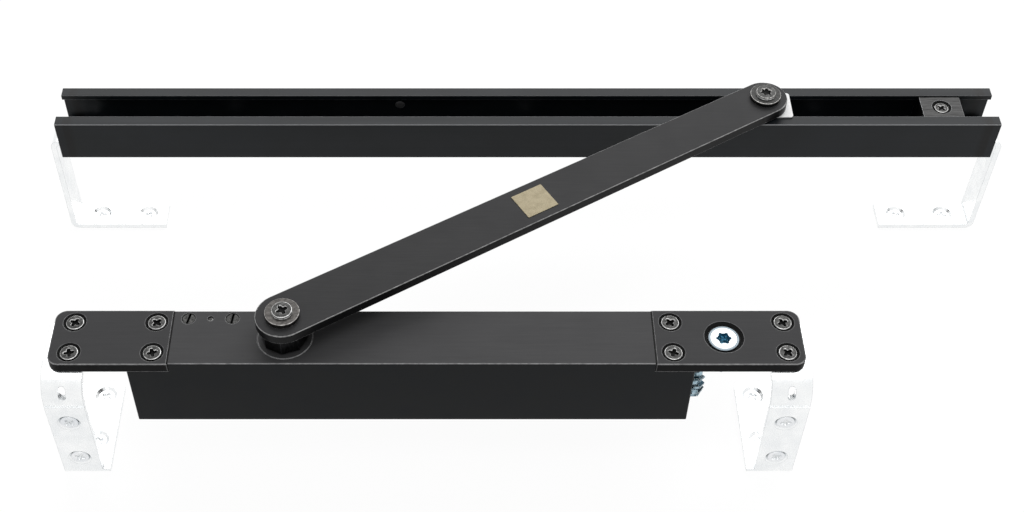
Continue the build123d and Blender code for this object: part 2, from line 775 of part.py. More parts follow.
def make_right_plug():
    plug = plug_blank(plug_inner, plug_outer, right_o_ring_x)
    plug -= bar(screw_journal_d + 2 * running_fit, plug_inner - 1, plug_outer + 1)
    for turn in (-1, 1):
        plug -= bar(plug_key_d, plug_outer - plug_key_depth, plug_outer + 1,
                    y=axis_y + turn * right_key_radius)
    return plug


def make_o_ring(groove_x):
    ring = Torus(bore_r - o_ring_section / 2 - o_ring_rub_gap, o_ring_section / 2)
    return Pos(groove_x, axis_y, bore_z) * Rot(0, 90, 0) * ring


def make_spring_nut():
    nut = bar(main_bore_d - 2 * nut_gap, nut_left, nut_left + nut_length)
    nut = chamfer(nut.edges().filter_by(GeomType.CIRCLE), plug_edge)
    key = nut_key_width / 2
    nut += block(nut_left, nut_left + nut_length, axis_y - key, axis_y + key,
                 bore_z - bore_r - nut_key_height + nut_key_gap,
                 bore_z - bore_r + nut_key_root)
    return nut - bar(screw_thread_d + 2 * running_fit, nut_left - 1, casing_right)


def make_adjusting_screw():
    screw = bar(screw_thread_d, collar_left - screw_inner_length, collar_left)
    screw = chamfer(screw.edges().filter_by(GeomType.CIRCLE).sort_by(Axis.X)[0], screw_lead_in)
    screw += bar(thrust_collar_d, collar_left, collar_right)
    screw += bar(screw_journal_d, collar_right, wheel_back + screw_past_wheel_back)
    return chamfer(screw.edges().filter_by(GeomType.CIRCLE).sort_by(Axis.X)[-1], plug_edge)


def make_thrust_washer():
    x0 = collar_right + seat_gap
    ring = bar(thrust_collar_d, x0, x0 + thrust_washer_h)
    return ring - bar(screw_journal_d + 2 * running_fit, x0 - 1, casing_right)


def bevel_tooth(cone, outer, inner):
    """A straight tooth that tapers to the cone's point, on the pitch line at angle 0."""
    half = gear_pitch * tooth_share / 2
    lean = math.tan(math.radians(tooth_flank))
    foot = tooth_below + tooth_root
    low = half + tooth_below * lean
    high = half - tooth_above * lean
    faces = []
    for reach in (outer, inner):
        scale = reach / outer
        corner = [(-low * scale, -foot * scale), (low * scale, -foot * scale),
                  (high * scale, tooth_above * scale), (-high * scale, tooth_above * scale)]
        point = (reach * math.sin(cone), 0, reach * math.cos(cone))
        outline = Plane(origin=point, x_dir=(0, -1, 0),
                        z_dir=(math.sin(cone), 0, math.cos(cone)))
        faces.append(outline * make_face(Polyline(*corner, close=True)))
    return loft(faces, ruled=True)


def straight_tooth(pitch_r, cone, low_z, high_z):
    """The same tooth carried on behind the cone, as on a spur gear."""
    half = gear_pitch * tooth_share / 2
    lean = math.tan(math.radians(tooth_flank))
    root = pitch_r - tooth_below * math.cos(cone)
    tip = pitch_r + tooth_above * math.cos(cone)
    low = half + tooth_below * lean
    high = half - tooth_above * lean
    outline = Polyline((root - tooth_root, -low), (root, -low), (tip, -high), (tip, high),
                       (root, low), (root - tooth_root, low), close=True)
    tooth = Pos(0, 0, low_z) * extrude(make_face(outline), amount=high_z - low_z)
    back_edge = tooth.edges().filter_by(Axis.Y).sort_by(Axis.X)[-2:].sort_by(Axis.Z)[-1]
    return chamfer(back_edge, tooth_back_edge)


def bevel_gear(teeth, pitch_r, other_r, back, bore):
    """Gear with its cone's point at the origin and its back towards +Z."""
    cone = math.atan2(pitch_r, other_r)
    outer = math.hypot(pitch_r, other_r)
    inner = outer - gear_face

    def root_point(reach):
        fall = tooth_below * reach / outer
        return (reach * math.sin(cone) - fall * math.cos(cone),
                reach * math.cos(cone) + fall * math.sin(cone))

    big, small = root_point(outer), root_point(inner)
    profile = Polyline((0, small[1]), small, big, (big[0], back), (0, back), close=True)
    gear = revolve(Plane.XZ * make_face(profile), Axis.Z)
    tooth = bevel_tooth(cone, outer, inner)
    tooth += straight_tooth(pitch_r, cone, other_r, back)
    for step in range(teeth):
        gear += Rot(0, 0, 360 * step / teeth) * tooth
    if bore:
        gear -= Cylinder(bore / 2, 4 * back)
    return gear


def make_bevel_wheel():
    gear = bevel_gear(gear_teeth, gear_pitch_r, pinion_pitch_r, adjuster_x - wheel_back,
                      screw_journal_d + 2 * static_fit)
    return Pos(adjuster_x, axis_y, bore_z) * Rot(0, -90, 0) * gear


def make_adjuster():
    pinion_back = gear_pitch_r + pinion_back_past
    pinion = bevel_gear(pinion_teeth, pinion_pitch_r, gear_pitch_r, pinion_back, 0)
    pinion = Pos(adjuster_x, axis_y, bore_z) * pinion
    disc_top = top - adjuster_sink
    disc = post(adjuster_disc_d, adjuster_x, axis_y, disc_top - adjuster_disc_h, disc_top)
    disc = fillet(disc.faces().sort_by(Axis.Z)[-1].edges(), head_edge)
    neck = post(adjuster_neck_d, adjuster_x, axis_y, bore_z + gear_pitch_r,
                disc_top - adjuster_disc_h / 2)
    recess = star_recess(adjuster_star, adjuster_star_depth)
    recess = Pos(adjuster_x, axis_y, disc_top) * recess
    return pinion + disc + neck - recess


def make_retainer():
    high = plate_under
    ring = post(retainer_d, adjuster_x, axis_y, high - retainer_h, high)
    return ring - post(adjuster_neck_d + 2 * running_fit, adjuster_x, axis_y, bottom, top)


def make_valve(offset, turn):
    x = spindle_x - offset
    high = top - valve_sink
    low = high - valve_length
    valve = post(valve_head_d, x, valve_y, high - valve_head_h, high)
    point = valve_point_length
    valve += post(valve_stem_d, x, valve_y, low + point, high - 1)
    valve += Pos(x, valve_y, low + point / 2) * Cone(valve_point_d / 2, valve_stem_d / 2, point)
    slot = Box(valve_head_d + 2, valve_slot, valve_slot_depth)
    return valve - Pos(x, valve_y, high) * Rot(0, 0, turn) * slot


def make_valve_seals():
    rings = []
    for offset in (closing_valve_from_spindle, latching_valve_from_spindle):
        x = spindle_x - offset
        high = top - valve_sink - valve_head_h - seal_below_head
        outside = valve_head_d + 2 * running_fit - 2 * static_fit
        ring = post(outside, x, valve_y, high - valve_seal_h, high)
        rings.append(ring - post(valve_stem_d + 2 * running_fit, x, valve_y, bottom, top))
    return grouped(rings)


def make_gallery_plug():
    x = spindle_x - (closing_valve_from_spindle + latching_valve_from_spindle) / 2
    pin = post(gallery_plug_d, x, valve_y, top - gallery_plug_depth,
               top - gallery_plug_sink)
    return fillet(pin.faces().sort_by(Axis.Z)[-1].edges(), gallery_plug_round)


def make_rail():
    half = rail_length / 2
    rail = block(-half, half, pivot_y - rail_width / 2, pivot_y + rail_width / 2,
                 rail_bottom, rail_top)
    rail = fillet(rail.edges().filter_by(Axis.X), rail_edge)
    rail -= block(-half - 1, half + 1, pivot_y - rail_inner / 2, pivot_y + rail_inner / 2,
                  rail_floor, rail_top - rail_lip)
    rail -= block(-half - 1, half + 1, pivot_y - rail_slot / 2, pivot_y + rail_slot / 2,
                  rail_floor, rail_top + 1)
    for step in (-1, 0, 1):
        rail -= post(rail_fixing_d, step * rail_fixing_pitch, pivot_y, 0, rail_top)
    side = Pos(rail_side_hole_x, pivot_y + rail_width / 2, rail_top - rail_side_hole_depth)
    rail -= side * Rot(90, 0, 0) * Cylinder(rail_side_hole_d / 2, 2 * rail_wall + 1)
    for end in (-1, 1):
        sink = Rot(180, 0, 0) * sink_hole(bolt_hole_d, frame_bolt_sink_d, rail_wall + sunk_spare)
        rail -= Pos(end * (half - frame_bolt_in), pivot_y, rail_bottom) * sink
    return rail


def make_frame_bracket(side):
    """Strip in the rail's end: flange on the rail's floor, leg down and foot inwards."""
    outer = frame_outer
    flange_in = rail_length / 2 - frame_flange_in
    half = frame_strip / 2
    high = rail_floor + strip_thickness
    path = [(flange_in, high), (outer, high), (outer, 0), (outer - frame_foot_length, 0),
            (outer - frame_foot_length, strip_thickness),
            (outer - strip_thickness, strip_thickness),
            (outer - strip_thickness, rail_floor), (flange_in, rail_floor)]
    strip = extrude(Plane.XZ * make_face(Polyline(*path, close=True)), amount=half, both=True)
    across = strip.edges().filter_by(Axis.Y)
    outer_bends = across.filter_by(lambda e: abs(e.center().X - outer) < 0.01)
    strip = fillet(outer_bends, frame_bend)
    inner_bend = strip.edges().filter_by(Axis.Y).filter_by(
        lambda e: abs(e.center().X - outer + strip_thickness) < 0.01)
    strip = fillet(inner_bend, frame_bend - strip_thickness)
    for x in frame_foot_screws:
        strip -= Pos(outer - x, 0, strip_thickness) * strip_sink
    strip -= post(bolt_hole_d, rail_length / 2 - frame_bolt_in, 0, rail_bottom, high + 1)
    if side < 0:
        strip = mirror(strip, Plane.YZ)
    return Pos(0, pivot_y, 0) * strip


def make_frame_foot_screws():
    return grouped(Pos(side * (frame_outer - x), pivot_y, 0) * flush_foot_screw(foot_screw_turn + x)
                   for side in (-1, 1) for x in frame_foot_screws)


def frame_bolt_places():
    return [side * (rail_length / 2 - frame_bolt_in) for side in (-1, 1)]


def make_frame_bolts():
    """Countersunk bolts, pushed up through the rail's floor and the bracket's flange."""
    low = rail_bottom + head_drop(frame_bolt_sink_d, frame_bolt_head_d)
    length = rail_floor + strip_thickness + frame_nut_h + frame_bolt_past_nut - low
    bolt = sunk_screw(frame_bolt_d, frame_bolt_head_d, length, frame_bolt_turn)
    return grouped(Pos(x, pivot_y, low) * Rot(180, 0, 0) * bolt for x in frame_bolt_places())


def make_frame_nuts():
    nuts = []
    for x in frame_bolt_places():
        nut = extrude(RegularPolygon(frame_nut_across / 2, 6, major_radius=False),
                      amount=frame_nut_h)
        nut = Pos(x, pivot_y, rail_floor + strip_thickness) * nut
        nuts.append(nut - post(frame_bolt_d + 2 * static_fit, x, pivot_y, 0, rail_top))
    return grouped(nuts)


def make_slider():
    x0 = pivot_x - slider_length / 2 - slider_behind_pivot
    x1 = x0 + slider_length
    wide = rail_inner / 2 - slider_side_gap
    neck = rail_slot / 2 - slider_side_gap
    guide = block(x0, x1, pivot_y - wide, pivot_y + wide, rail_floor + slider_floor_gap,
                  rail_top - rail_lip - slider_side_gap)
    guide = fillet(guide.edges().filter_by(Axis.Z), slider_corner)
    stem = block(x0, x1, pivot_y - neck, pivot_y + neck, rail_floor + slider_stem_low,
                 slider_cap_low + slider_cap_h / 2)
    cap = block(x0, x1, pivot_y - slider_cap_width / 2, pivot_y + slider_cap_width / 2,
                slider_cap_low, slider_cap_low + slider_cap_h)
    cap = fillet(cap.edges().filter_by(Axis.Z), slider_cap_corner)
    slider = guide + stem + cap
    slider -= post(bush_d + 2 * static_fit, pivot_x, pivot_y, rail_bottom, arm_low)
    return slider - post(pivot_nut_d + 2 * pivot_nut_gap, pivot_x, pivot_y, rail_floor, bush_low)


def make_bush():
    ring = post(bush_d, pivot_x, pivot_y, bush_low, slider_cap_low + slider_cap_h)
    return ring - post(pivot_d + 2 * running_fit, pivot_x, pivot_y, rail_bottom, arm_low)


def make_stop():
    x1 = rail_length / 2 - stop_from_rail_end
    x0 = x1 - stop_length
    wide = rail_inner / 2 - slider_side_gap
    neck = rail_slot / 2 - slider_side_gap
    stop = block(x0, x1, pivot_y - wide, pivot_y + wide, rail_floor + stop_floor_gap,
                 rail_top - rail_lip - slider_side_gap)
    stop += block(x0, x1, pivot_y - neck, pivot_y + neck, rail_floor + slider_stem_low, stop_top)
    middle = (x0 + x1) / 2
    hole = Pos(middle, pivot_y, stop_top) * sink_hole(
        stop_screw_d + 2 * static_fit, stop_sink_d, rail_height)
    return stop - hole


def make_stop_screw():
    middle = rail_length / 2 - stop_from_rail_end - stop_length / 2
    drop = head_drop(stop_sink_d, stop_screw_head_d)
    head_z = stop_top - drop
    length = head_z - rail_floor - stop_floor_gap
    return Pos(middle, pivot_y, head_z) * sunk_screw(stop_screw_d, stop_screw_head_d, length)


nodes = {
    "casing": make_casing(),
    "left_end_plate": make_plate(left_plate_out, left_plate_in,
                                 (left_outer_screw_x, left_inner_screw_x)),
    "right_end_plate": make_right_plate(),
    "plate_to_casing_screws": make_plate_screws(casing_screw_places, plate_screw_tip),
    "plate_to_bracket_screws": make_plate_screws(bracket_screw_places, bracket_screw_tip),
    "left_door_bracket": make_door_bracket(-1, left_plate_out, left_outer_screw_x),
    "right_door_bracket": make_door_bracket(1, right_plate_out, right_outer_screw_x),
    "door_bracket_leg_screws": make_leg_screws(),
    "door_bracket_foot_screws": make_door_foot_screws(),
    "spindle_cap": make_spindle_cap(),
    "spindle_seal": make_spindle_seal(),
    "upper_spindle_bearing": make_upper_bearing(),
    "lower_spindle_bearing": make_lower_bearing(),
    "camshaft": make_camshaft(),
    "main_arm": make_arm(),
    "arm_washer": make_washer(arm_washer_d, arm_thread_d, 0),
    "arm_screw": make_arm_screw(),
    "pivot_washer": make_washer(pivot_washer_d, pivot_d, arm_length),
    "pivot_screw": make_pivot_screw(),
    "pivot_nut": make_pivot_nut(),
    "label_plate": make_label(),
    "spring_piston": make_piston(1, spring_roller_x, spring_piston_length, spring_pocket),
    "spring_piston_ring": make_piston_ring(1, spring_roller_x),
    "spring_roller_pin": make_roller_pin(spring_roller_x),
    "spring_roller": make_roller(spring_roller_x),
    "damper_piston": make_piston(-1, damper_roller_x, damper_piston_length, damper_pocket),
    "damper_piston_ring": make_piston_ring(-1, damper_roller_x),
    "damper_roller_pin": make_roller_pin(damper_roller_x),
    "damper_roller": make_roller(damper_roller_x),
    "closing_spring": make_closing_spring(),
    "damper_spring": make_damper_spring(),
    "left_end_plug": make_left_plug(),
    "left_plug_o_ring": make_o_ring(left_o_ring_x),
    "right_end_plug": make_right_plug(),
    "right_plug_o_ring": make_o_ring(right_o_ring_x),
    "spring_nut": make_spring_nut(),
    "adjusting_screw": make_adjusting_screw(),
    "thrust_washer": make_thrust_washer(),
    "bevel_wheel": make_bevel_wheel(),
    "adjuster_pinion": make_adjuster(),
    "adjuster_retainer": make_retainer(),
    "closing_valve": make_valve(closing_valve_from_spindle, closing_valve_turn),
    "latching_valve": make_valve(latching_valve_from_spindle, latching_valve_turn),
    "valve_seals": make_valve_seals(),
    "gallery_plug": make_gallery_plug(),
    "guide_rail": make_rail(),
    "left_frame_bracket": make_frame_bracket(-1),
    "right_frame_bracket": make_frame_bracket(1),
    "frame_bracket_foot_screws": make_frame_foot_screws(),
    "frame_bracket_bolts": make_frame_bolts(),
    "frame_bracket_nuts": make_frame_nuts(),
    "slider_block": make_slider(),
    "slider_bush": make_bush(),
    "stop_block": make_stop(),
    "stop_screw": make_stop_screw(),
}

os.makedirs("parts", exist_ok=True)
for name, shape in nodes.items():
    export_step(shape, os.path.join("parts", name + ".step"))
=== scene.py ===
# %% [markdown]
# A concealed door closer is dressed here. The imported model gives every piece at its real
# size and place, so the work in Blender is finish and fine shape: black satin paint, dark
# anodised rail, zinc brackets and worn screw heads. The frame is loaded first, because every
# other piece takes its place from it.

# %% Load the frame
import math
import bmesh
import bpy
from mathutils import Matrix, Vector


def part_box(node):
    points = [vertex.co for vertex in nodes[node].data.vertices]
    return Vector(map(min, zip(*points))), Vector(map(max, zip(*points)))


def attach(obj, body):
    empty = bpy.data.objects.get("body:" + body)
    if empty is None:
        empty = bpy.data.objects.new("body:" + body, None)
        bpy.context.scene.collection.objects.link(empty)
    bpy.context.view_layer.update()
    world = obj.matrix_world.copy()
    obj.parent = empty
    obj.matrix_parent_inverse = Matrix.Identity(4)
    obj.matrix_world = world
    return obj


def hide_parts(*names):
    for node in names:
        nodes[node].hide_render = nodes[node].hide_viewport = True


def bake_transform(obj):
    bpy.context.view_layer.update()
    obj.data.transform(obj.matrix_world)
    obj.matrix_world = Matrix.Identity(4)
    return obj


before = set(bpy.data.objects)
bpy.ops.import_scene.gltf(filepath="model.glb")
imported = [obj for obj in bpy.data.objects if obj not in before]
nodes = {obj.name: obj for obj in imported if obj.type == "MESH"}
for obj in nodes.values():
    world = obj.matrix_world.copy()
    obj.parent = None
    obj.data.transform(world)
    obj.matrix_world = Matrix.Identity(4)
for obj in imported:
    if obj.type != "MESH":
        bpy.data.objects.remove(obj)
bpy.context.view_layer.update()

MM = 0.001

# %% [markdown]
# The camera stands where the photographer's did. Two vanishing points in the picture, of the
# upright edges and of the edges that run away from the viewer, give the tilt and the lens,
# and the casing's known width gives the distance.

# %% Camera
CASING_LOW, CASING_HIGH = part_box("casing")
CAMERA_ABOVE_CASING = 576.7 * MM
CAMERA_BEFORE_CASING = 441.2 * MM
CAMERA_X = -37.9 * MM
CAMERA_TILT_DOWN = math.radians(48.6)
FOCAL_PIXELS = 1548.0
FRAME_PIXELS = 1024.0
AXIS_PIXEL = 456.0

camera_data = bpy.data.cameras.new("camera")
camera_data.sensor_width = 36.0
camera_data.lens = FOCAL_PIXELS / FRAME_PIXELS * camera_data.sensor_width
camera_data.shift_x = (FRAME_PIXELS / 2 - AXIS_PIXEL) / FRAME_PIXELS
camera_data.clip_start = 0.01
camera = bpy.data.objects.new("camera", camera_data)
camera.location = (CAMERA_X, CASING_LOW.y - CAMERA_BEFORE_CASING,
                   CASING_HIGH.z + CAMERA_ABOVE_CASING)
camera.rotation_euler = (math.pi / 2 - CAMERA_TILT_DOWN, 0, 0)
bpy.context.scene.collection.objects.link(camera)
bpy.context.scene.camera = camera
print("camera", tuple(round(c, 3) for c in camera.location), "lens", round(camera_data.lens, 1), "mm")

# %% [markdown]
# Colours are written as the hex values that an eye would pick, and one function turns them
# to the linear values that shaders add up in. A second small function adds a node, sets its
# values, joins its inputs and hands on its output, so that each finish below reads as a list
# of steps. With the name of a shader input it also joins the output to that.

# %% Helpers for finishes
def colour(hex_value):
    channels = [int(hex_value[i:i + 2], 16) / 255 for i in (1, 3, 5)]
    linear = [c / 12.92 if c <= 0.04045 else ((c + 0.055) / 1.055) ** 2.4 for c in channels]
    return (*linear, 1.0)


def add(tree, kind, settings=None, out=0, to=None, **inputs):
    node = tree.nodes.new(kind)
    for key, value in (settings or {}).items():
        setattr(node, key, value)
    for key, value in inputs.items():
        numbered = key[0] == "i" and key[1:].isdigit()
        socket = node.inputs[int(key[1:])] if numbered else node.inputs[key.replace("_", " ")]
        if isinstance(value, bpy.types.NodeSocket):
            tree.links.new(value, socket)
        elif value is not None:
            socket.default_value = value
    if to:
        tree.links.new(node.outputs[out], tree.nodes["Principled BSDF"].inputs[to])
    return node.outputs[out]


def finish(name):
    material = bpy.data.materials.new(name)
    material.use_nodes = True
    tree = material.node_tree
    tree.nodes.clear()
    output = tree.nodes.new("ShaderNodeOutputMaterial")
    shader = tree.nodes.new("ShaderNodeBsdfPrincipled")
    tree.links.new(shader.outputs[0], output.inputs[0])
    return material, tree, shader


dressed = set()


def wear(node_names, material):
    for name in node_names:
        nodes[name].data.materials.clear()
        nodes[name].data.materials.append(material)
        dressed.add(name)


print("helpers ready for", len(nodes), "nodes")

# %% [markdown]
# No real surface has one flat colour, so most finishes start from a cloudy noise. Object
# coordinates are metres on the piece, so the scale is simply one over the real size of a
# grain. The noise stays mostly between 0.35 and 0.65, and that span is spread out to blend
# two tones and to vary the gloss. The relief takes its pattern as it is.

# %% Grain, tones and relief
NOISE_SPAN = (0.35, 0.65)
WHOLE_SPAN = (0.0, 1.0)
COLOURS = {"data_type": "RGBA"}
PRODUCT = {"operation": "MULTIPLY"}
LARGER = {"operation": "MAXIMUM"}


def grain(tree, size_mm, detail=2.0, roughness=0.5, stretch=(1, 1, 1)):
    here = add(tree, "ShaderNodeTexCoord", out="Object")
    where = add(tree, "ShaderNodeMapping", Vector=here, Scale=stretch)
    return add(tree, "ShaderNodeTexNoise", Vector=where, Scale=1 / (size_mm * MM), Detail=detail,
               Roughness=roughness)


def toned(tree, pattern, tones, span=NOISE_SPAN, reach=(0.0, 1.0)):
    share = add(tree, "ShaderNodeMapRange", i0=pattern, i1=span[0], i2=span[1], i3=reach[0], i4=reach[1])
    return add(tree, "ShaderNodeMix", COLOURS, 2, i0=share, i6=colour(tones[0]), i7=colour(tones[1]))


def textured(tree, sheen_pattern, gloss, relief, depth_mm, strength, normal=None, span=NOISE_SPAN):
    add(tree, "ShaderNodeMapRange", to="Roughness", i0=sheen_pattern, i1=span[0], i2=span[1],
        i3=gloss[0], i4=gloss[1])
    add(tree, "ShaderNodeBump", to="Normal", Strength=strength, Distance=depth_mm * MM, Height=relief,
        Normal=normal)


print("noise span", NOISE_SPAN)

# %% [markdown]
# Edges wear first, so each finish also asks how near an edge is; the pale colour put there is
# partly wear and partly a painted edge highlight. The Bevel shader node rounds the normal near an
# edge, and where the rounded and the true normal part, there is an edge. The same rounded normal
# gives a sharp edge its thin bright line. Fillets and chamfers that are modelled need no Bevel:
# they are the faces that look neither up nor sideways, and the height of the normal picks them
# out, so that a bright line can be painted on them, a painted highlight.

# %% Worn edges and painted edge highlights
SOFT = {"samples": 6}
EDGE_STARTS = 0.995
LEAVES_WALL = (0.15, 0.35)
REACHES_TOP = (0.9, 0.97)


def edges(tree, soft_normal, full_at=0.9):
    true_normal = add(tree, "ShaderNodeNewGeometry", out="Normal")
    same = add(tree, "ShaderNodeVectorMath", {"operation": "DOT_PRODUCT"}, "Value", i0=soft_normal,
               i1=true_normal)
    return add(tree, "ShaderNodeMapRange", i0=same, i1=EDGE_STARTS, i2=full_at, i3=0.0, i4=1.0)


# Faces between wall and top, where a bright line is painted: a painted highlight.
def highlight_slopes(tree):
    normal = add(tree, "ShaderNodeTexCoord", out="Normal")
    upward = add(tree, "ShaderNodeSeparateXYZ", out=2, Vector=normal)
    off_wall = add(tree, "ShaderNodeMapRange", i0=upward, i1=LEAVES_WALL[0], i2=LEAVES_WALL[1],
                   i3=0.0, i4=1.0)
    off_top = add(tree, "ShaderNodeMapRange", i0=upward, i1=REACHES_TOP[0], i2=REACHES_TOP[1],
                  i3=1.0, i4=0.0)
    return add(tree, "ShaderNodeMath", PRODUCT, i0=off_wall, i1=off_top)


print("edge samples", SOFT["samples"])

# %% [markdown]
# The studio is a white room. The background has to be pure white, yet the paint must stay
# black, so the world answers each kind of ray in its own way: the camera, mirror-like
# surfaces and glass see full white, while the light that really falls on the object is
# dimmer. That keeps zinc bright and black paint deep without any extra lamp.

# %% World
WORLD_SEEN = 1.0
WORLD_LIGHT = 0.26


def looked_at(tree):
    ray = add(tree, "ShaderNodeLightPath").node.outputs
    sharp = add(tree, "ShaderNodeMath", LARGER, i0=ray["Is Camera Ray"], i1=ray["Is Glossy Ray"])
    return add(tree, "ShaderNodeMath", LARGER, i0=sharp, i1=ray["Is Transmission Ray"])


world = bpy.data.worlds.new("white_room")
world.use_nodes = True
bpy.context.scene.world = world
tree = world.node_tree
tree.nodes.clear()
light = add(tree, "ShaderNodeBackground", Color=colour("#ffffff"), Strength=WORLD_LIGHT)
white = add(tree, "ShaderNodeBackground", Color=colour("#ffffff"), Strength=WORLD_SEEN)
room = add(tree, "ShaderNodeMixShader", i0=looked_at(tree), i1=light, i2=white)
tree.links.new(room, tree.nodes.new("ShaderNodeOutputWorld").inputs["Surface"])
print("world seen", WORLD_SEEN, "world light", WORLD_LIGHT)

# %% [markdown]
# The closer stands on a sheet of white card. Most of the card's white comes from a weak glow
# that only the camera and reflections see; the rest is ordinary matt white, which catches
# the lamps, so that the shadows under the feet stay in the picture.

# %% Floor
FLOOR_SIZE = 8.0
FLOOR_GLOW = 1.05
MATT_SHARE = 0.12

card, tree, shader = finish("matt_white_card")
shader.inputs["Base Color"].default_value = colour("#f4f4f4")
shader.inputs["Roughness"].default_value = 0.9
shader.inputs["Specular IOR Level"].default_value = 0.1
add(tree, "ShaderNodeBump", to="Normal", Strength=0.05, Distance=0.05 * MM, Height=grain(tree, 0.6, 3.0))
glow = add(tree, "ShaderNodeEmission", Color=colour("#ffffff"), Strength=FLOOR_GLOW)
glowing = add(tree, "ShaderNodeMixShader", i0=MATT_SHARE, i1=glow, i2=shader.outputs[0])
sheet = add(tree, "ShaderNodeMixShader", i0=looked_at(tree), i1=shader.outputs[0], i2=glowing)
tree.links.new(sheet, tree.nodes["Material Output"].inputs[0])

card_mesh = bpy.data.meshes.new("white_card")
half = FLOOR_SIZE / 2
corners = [(-half, -half, 0), (half, -half, 0), (half, half, 0), (-half, half, 0)]
card_mesh.from_pydata(corners, [], [(0, 1, 2, 3)])
card_mesh.materials.append(card)
floor = bpy.data.objects.new("white_card", card_mesh)
bpy.context.scene.collection.objects.link(floor)
bpy.context.scene.view_settings.view_transform = "Standard"
print("floor", FLOOR_SIZE, "m")

# %% [markdown]
# Two softboxes light the set. The one behind it leaves the sheen on every upper face, because
# black paint shows little but reflections. The one overhead keeps the small screws readable.


# %% Softboxes
def softbox(name, place, target, size, power):
    data = bpy.data.lights.new(name, "AREA")
    data.shape = "RECTANGLE"
    data.size, data.size_y = size
    data.energy = power
    lamp = bpy.data.objects.new(name, data)
    lamp.location = place
    lamp.rotation_euler = (Vector(target) - Vector(place)).to_track_quat("-Z", "Y").to_euler()
    bpy.context.scene.collection.objects.link(lamp)
    print(name, place, power, "W")


softbox("back_softbox", (0.35, 1.35, 1.25), (0, 0, 0.05), (3.0, 1.4), 32)
softbox("top_softbox", (0.1, -0.3, 1.8), (0, 0, 0), (1.6, 1.2), 12)

# %% [markdown]
# The casing, its end plates and the cap round the spindle wear satin black powder coat. The
# powder melts into a film that is never flat: it keeps a fine orange peel, about 0.8 mm from
# dimple to dimple, and its gloss wanders over a few centimetres. The upper faces are painted
# a lighter grey, in faint streaks along the length: a painted sheen, where the back light
# falls. Edges and fillets are painted pale: partly worn coat, partly a painted edge highlight.
# The peel is a bump, the gloss a roughness range, and the object's own normal tells the upper
# faces from the rest.

# %% Powder coat
FACES_UP = (0.6, 0.95)
SHEEN_STREAK_SPAN = (0.3, 0.7)


def powder_coat(name, base, sheen_top_tones, worn, gloss, peel_mm=0.8, edge_mm=0.6, edge_share=(0.5, 1.0), sheen=0.1):
    material, tree, shader = finish(name)
    edge_normal = add(tree, "ShaderNodeBevel", SOFT, Radius=edge_mm * MM)
    mottle = grain(tree, 14.0, 3.0)
    film_with_top_sheen = toned(tree, mottle, base)
    normal = add(tree, "ShaderNodeTexCoord", out="Normal")
    facing = add(tree, "ShaderNodeSeparateXYZ", out=2, Vector=normal)
    upward = add(tree, "ShaderNodeMapRange", i0=facing, i1=FACES_UP[0], i2=FACES_UP[1], i3=0.0, i4=1.0)
    # The upper faces are painted lighter, in faint streaks along the length: a painted sheen.
    painted_top_sheen = toned(tree, grain(tree, 0.9, 3.0, stretch=(0.05, 1, 1)), sheen_top_tones, SHEEN_STREAK_SPAN)
    film_with_top_sheen = add(tree, "ShaderNodeMix", COLOURS, 2, i0=upward, i6=film_with_top_sheen, i7=painted_top_sheen)
    scuff = add(tree, "ShaderNodeMapRange", i0=grain(tree, 2.4, 4.0, 0.7), i1=NOISE_SPAN[0], i2=NOISE_SPAN[1],
                i3=edge_share[0], i4=edge_share[1])
    # Edges and sloped fillets are painted pale grey: partly worn coat, partly a painted edge highlight.
    worn_and_lit_edges = add(tree, "ShaderNodeMath", LARGER, i0=edges(tree, edge_normal), i1=highlight_slopes(tree))
    edge_wear_and_highlight = add(tree, "ShaderNodeMath", PRODUCT, i0=worn_and_lit_edges, i1=scuff)
    add(tree, "ShaderNodeMix", COLOURS, 2, "Base Color", i0=edge_wear_and_highlight, i6=film_with_top_sheen, i7=colour(worn))
    shader.inputs["Specular IOR Level"].default_value = sheen
    textured(tree, mottle, gloss, grain(tree, peel_mm), 0.05, 0.22, edge_normal)
    return material


casing_coat = powder_coat("satin_black_powder_coat", ("#0a0d0f", "#101316"), ("#414142", "#454546"),
                          "#b0b0b1", (0.38, 0.48))
# The end plates take a darker, less glossy copy of the casing's coat: painted shade on their fronts.
shaded_plate_coat = powder_coat("satin_black_powder_coat_shaded_plate_copy", ("#080809", "#0c0c0d"), ("#3f3f40", "#424243"),
                         "#b0b0b1", (0.4, 0.5), sheen=0.06)
arm_coat = powder_coat("black_arm_powder_coat", ("#0d0d0e", "#131314"), ("#2f2f30", "#333334"),
                       "#bcbcbc", (0.36, 0.46), 0.7, 0.5, (0.4, 1.0))
wear(["casing", "spindle_cap"], casing_coat)
wear(["left_end_plate", "right_end_plate"], shaded_plate_coat)
wear(["main_arm"], arm_coat)
print("coated", casing_coat.name, shaded_plate_coat.name, arm_coat.name)

# %% [markdown]
# The rail is extruded aluminium, anodised black. The die leaves faint lines that run the whole
# length, here drawn 0.6 mm apart, which is coarser than life so that they show. The noise
# is squeezed across the rail and stretched along it, and it drives both bump and gloss. Near
# each end a darker band is painted across the bar: painted shade from the bracket at its end.

# %% Black anodised rail
EXTRUSION_LINE = 0.6
RAIL_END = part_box("guide_rail")[1].x
END_SHADE_BEGINS, END_SHADE_FULL, END_SHADE_FADES, END_SHADE_ENDS = [RAIL_END - reach * MM for reach in (10.0, 7.0, 4.5, 3.5)]

anodised, tree, shader = finish("black_anodised_aluminium")
edge_normal = add(tree, "ShaderNodeBevel", SOFT, Radius=0.3 * MM)
lines = grain(tree, EXTRUSION_LINE, stretch=(0.004, 1, 1))
dye_and_end_shade = toned(tree, grain(tree, 30.0), ("#0d1114", "#13171b"))
